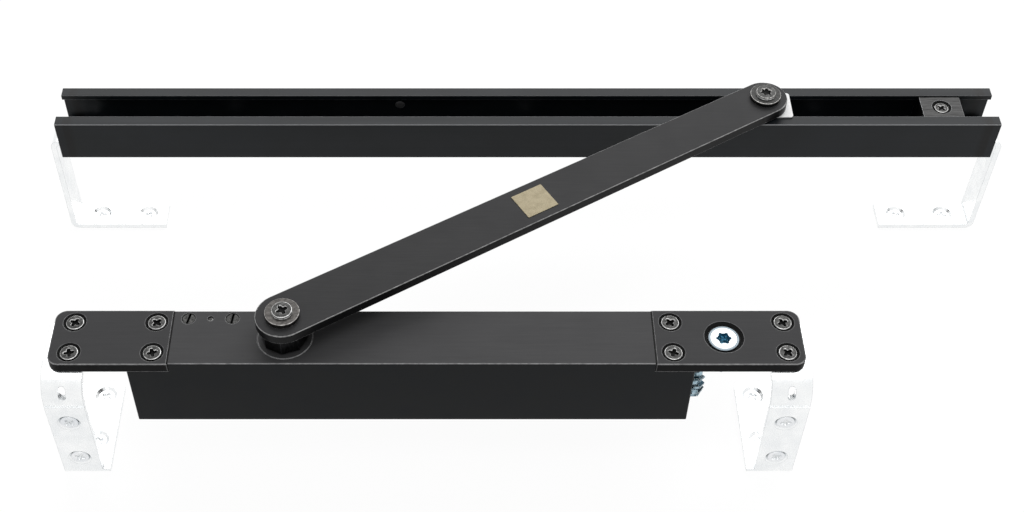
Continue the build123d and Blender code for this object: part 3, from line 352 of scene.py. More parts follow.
# Near each end the bar is painted darker: painted shade from the bracket at the rail's end.
here = add(tree, "ShaderNodeTexCoord", out="Object")
along = add(tree, "ShaderNodeSeparateXYZ", Vector=here)
from_middle = add(tree, "ShaderNodeMath", {"operation": "ABSOLUTE"}, i0=along)
inside = add(tree, "ShaderNodeMapRange", i0=from_middle, i1=END_SHADE_BEGINS, i2=END_SHADE_FULL, i3=0.0, i4=1.0)
outside = add(tree, "ShaderNodeMapRange", i0=from_middle, i1=END_SHADE_FADES, i2=END_SHADE_ENDS, i3=1.0, i4=0.0)
painted_end_shade = add(tree, "ShaderNodeMath", PRODUCT, i0=inside, i1=outside)
dye_and_end_shade = add(tree, "ShaderNodeMix", COLOURS, 2, i0=painted_end_shade, i6=dye_and_end_shade, i7=colour("#040405"))
# Edges and sloped fillets are painted pale: partly worn anodising, partly a painted edge highlight.
worn_and_lit_edges = add(tree, "ShaderNodeMath", LARGER, i0=edges(tree, edge_normal), i1=highlight_slopes(tree))
add(tree, "ShaderNodeMix", COLOURS, 2, "Base Color", i0=worn_and_lit_edges, i6=dye_and_end_shade, i7=colour("#9b9c9e"))
shader.inputs["Specular IOR Level"].default_value = 0.2
textured(tree, lines, (0.34, 0.46), lines, 0.02, 0.25, edge_normal)
wear(["guide_rail"], anodised)
print("rail line spacing", EXTRUSION_LINE, "mm")

# %% [markdown]
# Four bent strips of bright zinc-plated steel carry the casing and the rail. Fresh zinc is a
# mirror with a fine haze, so in a white room it looks almost white. The haze is a small
# roughness range; rolling marks run along the strip, and the cut edges are a touch darker.


# %% Bright zinc strip
def zinc_plate(name, tones, gloss, mark_mm, stretch, edge_tone, edge_mm=0.2, relief=0.15, haze_mm=9.0):
    material, tree, shader = finish(name)
    edge_normal = add(tree, "ShaderNodeBevel", SOFT, Radius=edge_mm * MM)
    marks = grain(tree, mark_mm, 3.0, stretch=stretch)
    tone = toned(tree, grain(tree, haze_mm, 3.0), tones)
    add(tree, "ShaderNodeMix", COLOURS, 2, "Base Color", i0=edges(tree, edge_normal), i6=tone,
        i7=colour(edge_tone))
    shader.inputs["Metallic"].default_value = 1.0
    textured(tree, marks, gloss, marks, 0.01, relief, edge_normal)
    return material


brackets = [name for name in nodes if name.endswith("_bracket")]
bracket_zinc = zinc_plate("bright_zinc_plated_strip", ("#eef0f1", "#f8f9f9"), (0.22, 0.34), 0.8,
                          (1, 1, 0.06), "#b9bcbf", 0.3, 0.12)
wear(brackets, bracket_zinc)
print("zinc on", brackets)

# %% [markdown]
# The gears and the spring adjuster are plated too, but passivated blue, which tints the
# reflections faintly. Cut teeth leave short marks across the metal. The screws and nuts of
# the brackets are bright again, with a paler, duller zinc in their recesses.

# %% Blue-white zinc and zinc screws
# The gear's edges are painted near white: a painted highlight on the teeth.
gear_zinc = zinc_plate("blue_white_zinc_gear", ("#33474f", "#a3bbc7"), (0.16, 0.3), 0.7,
                       (1, 1, 0.3), "#eaf2f6", relief=0.2, haze_mm=2.5)
screw_zinc = zinc_plate("bright_zinc_screw", ("#dfe2e5", "#f0f1f2"), (0.2, 0.34), 0.5, (1, 1, 1), "#ffffff")
recess_zinc = zinc_plate("bright_zinc_recess", ("#eef0f1", "#f8f9f9"), (0.35, 0.5), 0.5, (1, 1, 1),
                         "#f8f9f9", relief=0.1)
wear(["bevel_wheel", "adjuster_retainer"], gear_zinc)
wear(["frame_bracket_nuts"], screw_zinc)
print("zinc", gear_zinc.name, screw_zinc.name, recess_zinc.name)

# %% [markdown]
# The spring adjuster is one turned piece: pinion below, disc with a six-lobe recess on top. Its
# disc is polished bright and has a low step round the rim, and outside the step it is painted a
# darker grey, painted shade of the step. The recess kept the dark blue of the passivation. Step
# and recess lie at known distances from the piece's own axis, so one distance and one height,
# taken in object space, tell disc, step and recess apart. The axis comes from the round
# retainer, because the box of a pinion with 15 teeth isn't centred.

# %% Spring adjuster
STEP_RADIUS = 6.3 * MM
RECESS_RADIUS = 4.0 * MM
STEP_WIDTH = 0.15 * MM
RECESS_BLUR = 0.1 * MM
RECESS_IS_BLUE = -0.5 * MM
TOOL_MARK = 0.35 * MM
low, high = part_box("adjuster_retainer")
adjuster_axis = ((low.x + high.x) / 2, (low.y + high.y) / 2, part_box("adjuster_pinion")[1].z)


def from_axis(tree, axis):
    here = add(tree, "ShaderNodeTexCoord", out="Object")
    away = add(tree, "ShaderNodeVectorMath", {"operation": "SUBTRACT"}, i0=here, i1=axis)
    flat = add(tree, "ShaderNodeVectorMath", PRODUCT, i0=away, i1=(1, 1, 0))
    distance = add(tree, "ShaderNodeVectorMath", {"operation": "LENGTH"}, "Value", i0=flat)
    return distance, add(tree, "ShaderNodeSeparateXYZ", out=2, Vector=away)


adjuster, tree, shader = finish("bright_zinc_adjuster")
edge_normal = add(tree, "ShaderNodeBevel", SOFT, Radius=0.2 * MM)
radius, height = from_axis(tree, adjuster_axis)
inside = add(tree, "ShaderNodeMapRange", i0=radius, i1=RECESS_RADIUS, i2=RECESS_RADIUS + RECESS_BLUR,
             i3=1.0, i4=0.0)
sunk = add(tree, "ShaderNodeMapRange", i0=height, i1=-RECESS_BLUR, i2=RECESS_IS_BLUE, i3=0.0, i4=1.0)
in_recess = add(tree, "ShaderNodeMath", PRODUCT, i0=inside, i1=sunk)
step = add(tree, "ShaderNodeMapRange", i0=radius, i1=STEP_RADIUS, i2=STEP_RADIUS + STEP_WIDTH, i3=0.0, i4=1.0)
phase = add(tree, "ShaderNodeMath", PRODUCT, i0=radius, i1=2 * math.pi / TOOL_MARK)
turning = add(tree, "ShaderNodeMath", {"operation": "SINE"}, i0=phase)
# Outside the step the disc is painted darker grey: painted shade of the step.
disc_with_step_shade = toned(tree, step, ("#b9bec1", "#6d767c"), WHOLE_SPAN)
blue = toned(tree, grain(tree, 1.2, 3.0), ("#1a4152", "#84b6cc"))
add(tree, "ShaderNodeMix", COLOURS, 2, "Base Color", i0=in_recess, i6=disc_with_step_shade, i7=blue)
shader.inputs["Metallic"].default_value = 1.0
level = add(tree, "ShaderNodeMath", {"operation": "SUBTRACT"}, i0=1.0, i1=step)
textured(tree, turning, (0.22, 0.3), level, 0.3, 0.8, edge_normal, (-1.0, 1.0))
wear(["adjuster_pinion"], adjuster)
print("adjuster axis", [round(c, 4) for c in adjuster_axis])

# %% [markdown]
# The screws that show on the black set were black once. Driving them has worn the plating to
# a brownish grey on the heads, brightest on the rims and round the recess, and the black
# stays in the hollows. The mask is the edge mask plus a painted glint, a painted highlight on
# the sloped faces of rims and lips, in patches of about 1.5 mm.


# %% Worn black zinc
def worn_black(name, deep, worn, rim, share, gloss=(0.3, 0.5)):
    material, tree, shader = finish(name)
    edge_normal = add(tree, "ShaderNodeBevel", SOFT, Radius=0.25 * MM)
    patch = grain(tree, 1.5, 4.0, 0.6)
    fine = grain(tree, 0.3)
    metal = toned(tree, patch, (deep, worn), reach=share)
    patchy = add(tree, "ShaderNodeMapRange", i0=patch, i1=NOISE_SPAN[0], i2=NOISE_SPAN[1], i3=0.2, i4=0.9)
    # Sloped faces of rims and lips get the pale colour in patches: a painted glint.
    glint = add(tree, "ShaderNodeMath", PRODUCT, i0=highlight_slopes(tree), i1=patchy)
    worn_and_lit_edges = add(tree, "ShaderNodeMath", LARGER, i0=edges(tree, edge_normal, 0.86), i1=glint)
    add(tree, "ShaderNodeMix", COLOURS, 2, "Base Color", i0=worn_and_lit_edges, i6=metal, i7=colour(rim))
    shader.inputs["Metallic"].default_value = 1.0
    textured(tree, fine, gloss, fine, 0.02, 0.25, edge_normal)
    return material


head_metal = worn_black("worn_black_zinc_screw", "#262626", "#4c4c4b", "#b5b5b4", (0.1, 0.9))
washer_metal = worn_black("worn_black_zinc_washer", "#2f2e2d", "#514f4d", "#cfccc9", (0.2, 1.0))
dark_washer = worn_black("dark_zinc_washer", "#222222", "#3c3c3b", "#dcdad7", (0.2, 1.0))
worn_rim = worn_black("polished_worn_rim", "#6e6e6d", "#a9a9a8", "#e3e3e2", (0.0, 1.0), (0.2, 0.35))

wear(["arm_washer"], washer_metal)
wear(["pivot_washer"], dark_washer)
wear(["gallery_plug", "pivot_nut"], head_metal)
print("worn metals", head_metal.name, washer_metal.name)

# %% [markdown]
# Two valves lie beside the spindle, each a slotted head in its own bore. The plating keeps the
# slot and the outer rim black, and the flat of the head is worn grey. The slot lies lower than
# the flat and the rim lies further out, so a height and a radius find them.

# %% Slotted valve heads
VALVE_RADIUS = 3.3 * MM
VALVE_RIM = 0.45 * MM
SLOT_STARTS = -0.02 * MM
SLOT_IS_BLACK = -0.2 * MM


def valve_head(node):
    material, tree, shader = finish(node + "_worn_black_zinc")
    low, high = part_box(node)
    radius, height = from_axis(tree, ((low.x + high.x) / 2, (low.y + high.y) / 2, high.z))
    outer = add(tree, "ShaderNodeMapRange", i0=radius, i1=VALVE_RADIUS - VALVE_RIM,
                i2=VALVE_RADIUS - VALVE_RIM / 2, i3=0.0, i4=1.0)
    sunk = add(tree, "ShaderNodeMapRange", i0=height, i1=SLOT_STARTS, i2=SLOT_IS_BLACK, i3=0.0, i4=1.0)
    black = add(tree, "ShaderNodeMath", LARGER, i0=outer, i1=sunk)
    patch = grain(tree, 1.2, 4.0, 0.6)
    worn = toned(tree, patch, ("#242424", "#484847"))
    add(tree, "ShaderNodeMix", COLOURS, 2, "Base Color", i0=black, i6=worn, i7=colour("#060606"))
    shader.inputs["Metallic"].default_value = 1.0
    edge_normal = add(tree, "ShaderNodeBevel", SOFT, Radius=0.15 * MM)
    textured(tree, patch, (0.3, 0.45), patch, 0.02, 0.25, edge_normal)
    wear([node], material)


for node in ("closing_valve", "latching_valve"):
    valve_head(node)
print("valve rim", round(VALVE_RIM / MM, 2), "mm")

# %% [markdown]
# The slider is machined acetal, a hard white plastic with a soft sheen; a little light enters
# it, so it gets a small subsurface share. The cutter leaves marks of about 0.5 mm on it.

# %% Slider
acetal, tree, shader = finish("white_acetal")
cutter = grain(tree, 0.5, stretch=(1, 1, 0.2))
tree.links.new(toned(tree, cutter, ("#e3e4e4", "#f1f1f1")), shader.inputs["Base Color"])
shader.inputs["Subsurface Weight"].default_value = 0.08
shader.inputs["Subsurface Radius"].default_value = (1.0 * MM, 1.0 * MM, 1.0 * MM)
shader.inputs["IOR"].default_value = 1.48
edge_normal = add(tree, "ShaderNodeBevel", SOFT, Radius=0.3 * MM)
textured(tree, cutter, (0.36, 0.48), cutter, 0.02, 0.2, edge_normal)
wear(["slider_block"], acetal)
print("slider", acetal.name)

# %% [markdown]
# The stop is aluminium, dyed dark and then brushed along its length. The square on the arm is
# a plain gold foil, pressed on and slightly wavy.

# %% Stop and gold square
brushed, tree, shader = finish("dark_brushed_aluminium")
edge_normal = add(tree, "ShaderNodeBevel", SOFT, Radius=0.3 * MM)
strokes = grain(tree, 0.35, 3.0, 0.7, (0.03, 1, 1))
tone = toned(tree, strokes, ("#202020", "#424242"))
# The edges are painted pale: partly worn colour, partly a painted edge highlight.
worn_and_lit_edges = edges(tree, edge_normal)
add(tree, "ShaderNodeMix", COLOURS, 2, "Base Color", i0=worn_and_lit_edges, i6=tone, i7=colour("#a5a6a8"))
shader.inputs["Metallic"].default_value = 1.0
textured(tree, strokes, (0.24, 0.42), strokes, 0.02, 0.3, edge_normal)
wear(["stop_block"], brushed)

foil, tree, shader = finish("plain_gold_foil")
wave = grain(tree, 3.5)
fleck = grain(tree, 0.3)
tree.links.new(toned(tree, fleck, ("#7d735a", "#91876d")), shader.inputs["Base Color"])
shader.inputs["Metallic"].default_value = 0.35
edge_normal = add(tree, "ShaderNodeBevel", SOFT, Radius=0.1 * MM)
textured(tree, wave, (0.38, 0.52), wave, 0.05, 0.3, edge_normal)
wear(["label_plate"], foil)
print("stop and square", brushed.name, foil.name)

# %% [markdown]
# Inside the casing are ground steel pistons, rollers and bearings, a blackened camshaft, two
# coil springs and bronze rings. Ground steel shows fine rings round its axis, and peened wire
# is pitted. They are hidden in the picture, but a part that is taken apart shows them, so
# they are finished like the rest.


# %% Steel, spring wire and bronze
def bare_metal(name, tones, gloss, mark_mm, stretch, depth, edge_tone):
    material, tree, shader = finish(name)
    edge_normal = add(tree, "ShaderNodeBevel", SOFT, Radius=0.2 * MM)
    marks = grain(tree, mark_mm, 3.0, stretch=stretch)
    tone = toned(tree, marks, tones)
    add(tree, "ShaderNodeMix", COLOURS, 2, "Base Color", i0=edges(tree, edge_normal), i6=tone,
        i7=colour(edge_tone))
    shader.inputs["Metallic"].default_value = 1.0
    textured(tree, marks, gloss, marks, depth, 0.25, edge_normal)
    return material


ground = bare_metal("ground_steel", ("#84868a", "#a2a4a8"), (0.2, 0.34), 0.4, (1, 0.08, 0.08), 0.01,
                    "#c4c6c9")
blackened = bare_metal("oil_blackened_steel", ("#0f0f10", "#232324"), (0.32, 0.48), 0.5, (1, 1, 0.2), 0.02,
                       "#55565a")
wire = bare_metal("peened_spring_wire", ("#3b3c3f", "#5f6064"), (0.35, 0.5), 0.6, (1, 1, 1), 0.04, "#7c7d80")
bronze = bare_metal("sintered_bronze", ("#7d6038", "#9d7f52"), (0.4, 0.55), 0.5, (1, 1, 1), 0.03, "#b89a6b")

wear(["spring_piston", "damper_piston", "spring_roller", "damper_roller", "spring_roller_pin",
      "damper_roller_pin", "adjusting_screw", "spring_nut", "thrust_washer", "upper_spindle_bearing",
      "lower_spindle_bearing", "left_end_plug", "right_end_plug"], ground)
wear(["camshaft"], blackened)
wear(["closing_spring", "damper_spring"], wire)
wear(["slider_bush", "spring_piston_ring", "damper_piston_ring"], bronze)
print("inner metals", [m.name for m in (ground, blackened, wire, bronze)])

# %% [markdown]
# Three dull things are left. The seals are nitrile rubber with a moulded skin, the plug in the
# rail is grey polyethylene with faint sink marks, and the hollows of the black screws keep
# their sooty plating. The same near black is also the painted shade in the countersinks, the
# dish and the plate joints. One function serves them: two dark tones, a rough range and a fine
# bump.


# %% Rubber, plastic, sooty hollows and painted shade
def dull(name, tones, grain_mm, gloss, depth, strength):
    material, tree, shader = finish(name)
    skin = grain(tree, grain_mm, 3.0)
    tree.links.new(toned(tree, skin, tones, WHOLE_SPAN), shader.inputs["Base Color"])
    textured(tree, skin, gloss, skin, depth, strength)
    return material, shader


rubber, shader = dull("black_nitrile_rubber", ("#0e0e0e", "#1c1c1c"), 0.7, (0.6, 0.75), 0.03, 0.3)
plug_plastic, shader = dull("grey_moulded_polyethylene", ("#3c3c3d", "#5b5b5c"), 1.0, (0.4, 0.55), 0.03, 0.2)
# This near black is also painted shade in countersinks, the dish and the plate joints.
black_recess_and_shade, shader = dull("black_zinc_recess_and_painted_shade", ("#040404", "#0c0c0c"), 0.6, (0.5, 0.7), 0.02, 0.2)
shader.inputs["Specular IOR Level"].default_value = 0.12
wear(["spindle_seal", "left_plug_o_ring", "right_plug_o_ring", "valve_seals"], rubber)
print("dull", [m.name for m in (rubber, plug_plastic, black_recess_and_shade)])

# %% [markdown]
# Screws are where the eye rests, because each head catches the light in its own way. A real
# head is one flowing surface: a flat face, a recess with soft lips, a rounded rim, a cone and
# then the thread. A boolean cut would leave knife edges, so the head is built as rings of
# points instead, and each point is pushed down by how far it lies inside the recess outline.

# %% Recess outlines
# Each outline gives the distance from its border in millimetres, below zero on the inside.
RECESS_LIP = 0.22
CROSS_ARM = 0.15
CROSS_FILLET = 0.12
STAR_MEAN = 0.86
STAR_LOBE = 0.14


def cross_outline(x, y, size):
    arm_length, arm_half = size / 2, size * CROSS_ARM
    across = [max(abs(a) - arm_length + arm_half, 0.0) for a in (x, y)]
    along_x = math.hypot(across[0], y) - arm_half
    along_y = math.hypot(across[1], x) - arm_half
    fillet = CROSS_FILLET * size
    near = max(fillet - abs(along_x - along_y), 0.0) / fillet
    return min(along_x, along_y) - near * near * fillet * 0.25


def star_outline(x, y, size):
    angle = math.atan2(y, x)
    return math.hypot(x, y) - size / 2 * (STAR_MEAN + STAR_LOBE * math.cos(6 * angle))


def pressed(x, y, outline, size, depth, turn):
    c, s = math.cos(turn), math.sin(turn)
    gap = outline(x * c + y * s, y * c - x * s, size)
    share = min(max(0.5 - gap / (2 * RECESS_LIP), 0.0), 1.0)
    return depth * share * share * (3 - 2 * share)


print("lip", RECESS_LIP, "mm")

# %% [markdown]
# Everything turned is built from rings: a circle of points, a bridge of faces between two
# circles, and a cap over the last one. A face keeps the number of its finish: metal, the dark
# of the recess, or the rubbed rim round it.

# %% Rings
SEGMENTS = 72
HEAD_DOME = 0.12
RIM_STARTS = 0.03
METAL, RECESS, RIM = 0, 1, 2


def ring(bm, radius, z, segments=SEGMENTS, lift=None):
    points = []
    for step in range(segments):
        angle = 2 * math.pi * step / segments
        x, y = radius * math.cos(angle), radius * math.sin(angle)
        points.append(bm.verts.new((x, y, z + (lift(x, y) if lift else 0.0))))
    return points


def bridge(bm, upper, lower, black_below=None, slot=METAL):
    for step in range(len(upper)):
        following = (step + 1) % len(upper)
        face = bm.faces.new((upper[following], upper[step], lower[step], lower[following]))
        face.smooth = True
        if black_below is None:
            face.material_index = slot
        elif face.calc_center_median().z < -black_below:
            face.material_index = RECESS
        elif face.calc_center_median().z < -HEAD_DOME - RIM_STARTS:
            face.material_index = RIM


def cap(bm, points, z, slot=METAL, downward=False):
    middle = bm.verts.new((0, 0, z))
    for step in range(len(points)):
        pair = (points[step], points[(step + 1) % len(points)])
        face = bm.faces.new((middle, pair[1], pair[0]) if downward else (middle, pair[0], pair[1]))
        face.smooth = True
        face.material_index = slot


print("ring of", SEGMENTS, "points")

# %% [markdown]
# Below the head comes the thread. It is a ridge wound round the shank, so every ring of points
# is the shank's circle with its radius raised where the winding passes. The winding moves on
# by one pitch in a full turn, and a saw-like profile of 0.8 mm pitch reads as a metric screw.
# The ridge fades over a few rings at both ends, as a cut thread runs out.

# %% Thread
THREAD_SEGMENTS = 32
THREAD_PITCH = 0.8
THREAD_DEPTH = 0.35
RINGS_PER_TURN = 8
FADE_RINGS = 6
CREST_CUT = 1.3


def thread(bm, start_z, end_z, major):
    turns = max((start_z - end_z) / THREAD_PITCH, 1.0)
    count = int(turns * RINGS_PER_TURN)
    root = major - THREAD_DEPTH
    upper = ring(bm, root, start_z, THREAD_SEGMENTS)
    cap(bm, upper, start_z)
    for number in range(1, count + 1):
        z = start_z + (end_z - start_z) * number / count
        fade = min(1.0, number / FADE_RINGS, (count - number) / FADE_RINGS)
        lower = []
        for step in range(THREAD_SEGMENTS):
            phase = (z / THREAD_PITCH + step / THREAD_SEGMENTS) % 1.0
            ridge = 1 - abs(2 * phase - 1)
            radius = root + THREAD_DEPTH * min(ridge * CREST_CUT, 1.0) * fade
            angle = 2 * math.pi * step / THREAD_SEGMENTS
            lower.append(bm.verts.new((radius * math.cos(angle), radius * math.sin(angle), z)))
        bridge(bm, upper, lower)
        upper = lower
    cap(bm, upper, end_z, downward=True)


print("thread pitch", THREAD_PITCH, "mm")

# %% [markdown]
# One screw is face, rounded rim, side, cone and thread, from the top down. All its sizes are
# millimetres, and its face starts at the origin, so that it can be tipped before it is moved.

# %% One screw
FACE_RINGS = 20
RIM_RINGS = 4
SOFT_RIM = 0.4
LEAST_RIM = 0.2
LEAST_SIDE = 0.02
BLACK_BELOW = 0.3
SHORTEST_THREAD = 1.0
GAP = 0.05


def screw(bm, at, head_d, rim, cone, shank_d, length, recess, size, depth, turn, tilt=None):
    first = len(bm.verts)
    radius = head_d / 2
    soft = max(min(SOFT_RIM, rim), LEAST_RIM)
    face_radius = radius - soft

    def lift(x, y):
        return -HEAD_DOME * (x * x + y * y) / radius ** 2 - pressed(x, y, recess, size, depth, turn)

    inner = ring(bm, face_radius / FACE_RINGS, 0, SEGMENTS, lift)
    cap(bm, inner, lift(0, 0), RECESS)
    for number in range(2, FACE_RINGS + 1):
        outer = ring(bm, face_radius * number / FACE_RINGS, 0, SEGMENTS, lift)
        bridge(bm, inner, outer, HEAD_DOME + depth * BLACK_BELOW)
        inner = outer
    for number in range(1, RIM_RINGS + 1):
        swing = math.radians(90 * number / RIM_RINGS)
        fall = HEAD_DOME * (face_radius / radius) ** 2 + soft * (1 - math.cos(swing))
        outer = ring(bm, face_radius + soft * math.sin(swing), -fall)
        bridge(bm, inner, outer, slot=RIM)
        inner = outer
    bottom = -max(rim, soft + HEAD_DOME + LEAST_SIDE)
    outer = ring(bm, radius, bottom)
    bridge(bm, inner, outer)
    lower = ring(bm, shank_d / 2 - GAP if cone else radius, bottom - cone)
    bridge(bm, outer, lower)
    cap(bm, lower, bottom - cone, downward=True)
    if length + bottom - cone > SHORTEST_THREAD:
        thread(bm, bottom - cone + GAP, -length, shank_d / 2)
    bm.verts.ensure_lookup_table()
    moved = Matrix.Translation(Vector(at)) @ (tilt or Matrix.Identity(4))
    bmesh.ops.transform(bm, matrix=moved, verts=bm.verts[first:])


print("soft rim", SOFT_RIM, "mm")

# %% [markdown]
# A finished mesh becomes an object and is hung on its body. Where it stands in for a piece of
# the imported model, that piece is named as replaced, so that only one of the two shows.


# %% Hang a piece on its body
def shaped(name, bm, materials):
    bmesh.ops.scale(bm, vec=(MM, MM, MM), verts=bm.verts)
    bmesh.ops.recalc_face_normals(bm, faces=bm.faces)
    mesh = bpy.data.meshes.new(name)
    bm.to_mesh(mesh)
    bm.free()
    for material in materials:
        mesh.materials.append(material)
    piece = bpy.data.objects.new(name, mesh)
    bpy.context.scene.collection.objects.link(piece)
    print(name, len(mesh.vertices), "points")
    return piece


def hang(name, bm, body, replaced, material, hollow=black_recess_and_shade, rim=worn_rim):
    piece = shaped(name, bm, (material, hollow, rim))
    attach(piece, body)
    if replaced:
        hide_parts(replaced)
        dressed.add(replaced)


print("finishes of one screw: metal", METAL, "recess", RECESS, "rim", RIM)

# %% [markdown]
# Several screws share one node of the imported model, so their places are read from it. Points
# that lie within 9 mm of each other belong to the same screw, and the box round them gives
# its axis, head and tip. Nothing is placed by eye, and a change of size moves every screw.

# %% Find the screws of a node
SAME_SCREW = 9.0


def box_mm(node):
    return [[c / MM for c in corner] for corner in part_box(node)]


def middle(low, high, axis):
    return (low[axis] + high[axis]) / 2


def screws_of(node, axis):
    u, v = [i for i in range(3) if i != axis]
    groups = []
    for vertex in nodes[node].data.vertices:
        point = [c / MM for c in vertex.co]
        for group in groups:
            if math.hypot(point[u] - group[0][u], point[v] - group[0][v]) < SAME_SCREW:
                group.append(point)
                break
        else:
            groups.append([point])
    found = []
    for group in groups:
        low = [min(p[i] for p in group) for i in range(3)]
        high = [max(p[i] for p in group) for i in range(3)]
        found.append((low, high))
    print(node, len(found), "screws")
    return found


print("points of one screw lie within", SAME_SCREW, "mm")

# %% [markdown]
# The eight screws in the end plates are countersunk with a cross recess. They were driven
# by hand, so no two crosses point the same way. Four go into the casing and four into the
# brackets below.

# %% Plate screws
SCREW_D = 5.0
HEAD_D = 8.6
HEAD_CONE = (HEAD_D - SCREW_D) / 2
HEAD_RIM = 1.2
CROSS_SIZE = 5.0
CROSS_DEPTH = 1.7
PLATE_TURNS = {"plate_to_casing_screws": (18, 52, 70, 33), "plate_to_bracket_screws": (12, 61, 40, 27)}

for name, turns in PLATE_TURNS.items():
    bm = bmesh.new()
    for (low, high), turn in zip(screws_of(name, 2), turns):
        at = (middle(low, high, 0), middle(low, high, 1), high[2])
        screw(bm, at, HEAD_D, HEAD_RIM, HEAD_CONE, SCREW_D, high[2] - low[2], cross_outline, CROSS_SIZE,
              CROSS_DEPTH, math.radians(turn))
    hang(name.replace("_screws", "_worn_screws"), bm, "closer", name, head_metal)

# %% [markdown]
# Round each head shows a dark ring: the countersink is wider than the head, and the gap between
# them lies in shade. A thin near-black cone shell lies on each countersink, 0.02 mm proud of it,
# as painted shade, which costs little and reads better than a mask in the paint. The dish round
# the adjuster disc gets the same painted shade.

# %% Painted shade in the countersinks
SINK_D = 11.2
SINK_DROP = 1.2
DISH_D = 19.0
DISH_DROP = 1.65
SHELL = 0.02


# Each shell is a near-black cone: painted shade in the countersink.
def countersinks(name, places, sink_d, drop, body="closer"):
    bm = bmesh.new()
    for place in places:
        first = len(bm.verts)
        outer = ring(bm, sink_d / 2 - GAP, -GAP + SHELL)
        inner = ring(bm, sink_d / 2 - drop, -drop + SHELL)
        bridge(bm, outer, inner)
        bm.verts.ensure_lookup_table()
        bmesh.ops.translate(bm, vec=place, verts=bm.verts[first:])
    hang(name, bm, body, None, black_recess_and_shade)


plate_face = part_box("left_end_plate")[1].z / MM
plate_places = [(middle(low, high, 0), middle(low, high, 1), plate_face)
                for name in PLATE_TURNS for low, high in screws_of(name, 2)]
countersinks("plate_countersink_shade", plate_places, SINK_D, SINK_DROP)
dish_place = (adjuster_axis[0] / MM, adjuster_axis[1] / MM, plate_face)
countersinks("adjuster_dish_shade", [dish_place], DISH_D, DISH_DROP)

# %% [markdown]
# Where an end plate meets the casing there is an open joint, which lies in shade and shows as a
# fine dark line over the top and down the front. A near-black strip, wider than the joint, lies
# in it as painted shade. The strip follows that corner: its section is pushed along the edge as
# one folded ribbon, with a low crown along its middle.

# %% Painted shade in the plate joints
JOINT_SHADE_WIDTH = 0.9
JOINT_SHADE_PROUD = 0.03
JOINT_SHADE_CROWN = 0.02
JOINT_SHADE_INWARD = 0.15
JOINT_SHADE_SHORT = 0.4
JOINT_SHADE_FOLD = 0.3

casing_low, casing_high = box_mm("casing")
left_low, left_high = box_mm("left_end_plate")
right_low = box_mm("right_end_plate")[0]
path = [(casing_high[1] - JOINT_SHADE_SHORT, casing_high[2] + JOINT_SHADE_PROUD),
        (casing_low[1] + JOINT_SHADE_FOLD, casing_high[2] + JOINT_SHADE_PROUD),
        (casing_low[1] - JOINT_SHADE_PROUD, casing_high[2] - JOINT_SHADE_FOLD),
        (casing_low[1] - JOINT_SHADE_PROUD, left_low[2])]
# The strip is near black: painted shade in the joint.
bm = bmesh.new()
for centre_x in (left_high[0] + JOINT_SHADE_INWARD, right_low[0] - JOINT_SHADE_INWARD):
    borders = []
    for side in (-1, 1):
        borders.append([bm.verts.new((centre_x + side * JOINT_SHADE_WIDTH / 2, y, z)) for y, z in path])
    crown = []
    for y, z in path:
        on_top = z > casing_high[2]
        lifted = (y, z + JOINT_SHADE_CROWN) if on_top else (y - JOINT_SHADE_CROWN, z)
        crown.append(bm.verts.new((centre_x, *lifted)))
    for step in range(len(path) - 1):
        bm.faces.new((borders[0][step], borders[0][step + 1], crown[step + 1], crown[step]))
        bm.faces.new((crown[step], crown[step + 1], borders[1][step + 1], borders[1][step]))
hang("plate_joint_painted_shade", bm, "closer", None, black_recess_and_shade)

# %% [markdown]
# The hole in the rail's rear wall is closed by a small domed plastic plug, which keeps dust
# out of the slider's track. It is turned from a profile of radius and height, ring by ring.

# %% Rail plug
RAIL_WALL = 3.0
PLUG_X = -68.3
PLUG_BELOW_TOP = 9.5
PLUG_RADIUS = 2.46
PLUG_TOP = 0.62
PLUG_PROFILE = ((0.4, 0.6), (1.2, 0.55), (2.0, 0.35), (2.4, 0.05), (PLUG_RADIUS, -0.2), (PLUG_RADIUS, -2.4),
                (1.9, -2.6))

rail_low, rail_high = box_mm("guide_rail")
bm = bmesh.new()
inner = ring(bm, *PLUG_PROFILE[0], THREAD_SEGMENTS)
cap(bm, inner, PLUG_TOP)
for radius, z in PLUG_PROFILE[1:]:
    outer = ring(bm, radius, z, THREAD_SEGMENTS)
    bridge(bm, inner, outer)
    inner = outer
cap(bm, inner, PLUG_PROFILE[-1][1], downward=True)
plug_at = (PLUG_X + middle(rail_low, rail_high, 0), rail_high[1] - RAIL_WALL - GAP,
           rail_high[2] - PLUG_BELOW_TOP)
FACE_FORWARD = Matrix.Rotation(math.radians(90), 4, "X")
bmesh.ops.transform(bm, matrix=Matrix.Translation(Vector(plug_at)) @ FACE_FORWARD, verts=bm.verts)
hang("rail_hole_plug", bm, "rail", None, plug_plastic)

# %% [markdown]
# The plate screw comes again in bright zinc, in the legs of the casing's brackets. A leg stands
# upright and faces the viewer, so its screws are tipped to point their faces forward. The
# screws in the feet point up, and their cones take the whole height of the thin strip.

# %% Leg and foot screws
LOW_RIM = 0.35
FOOT_RECESS_SHARE = 0.6

bm = bmesh.new()
for number, (low, high) in enumerate(screws_of("door_bracket_leg_screws", 1)):
    at = (middle(low, high, 0), low[1], middle(low, high, 2))
    screw(bm, at, HEAD_D, HEAD_RIM, HEAD_CONE, SCREW_D, high[1] - low[1], cross_outline, CROSS_SIZE,
          CROSS_DEPTH, math.radians(40 + 27 * number), FACE_FORWARD)
hang("door_bracket_leg_zinc_screws", bm, "closer", "door_bracket_leg_screws", screw_zinc,
     recess_zinc, screw_zinc)

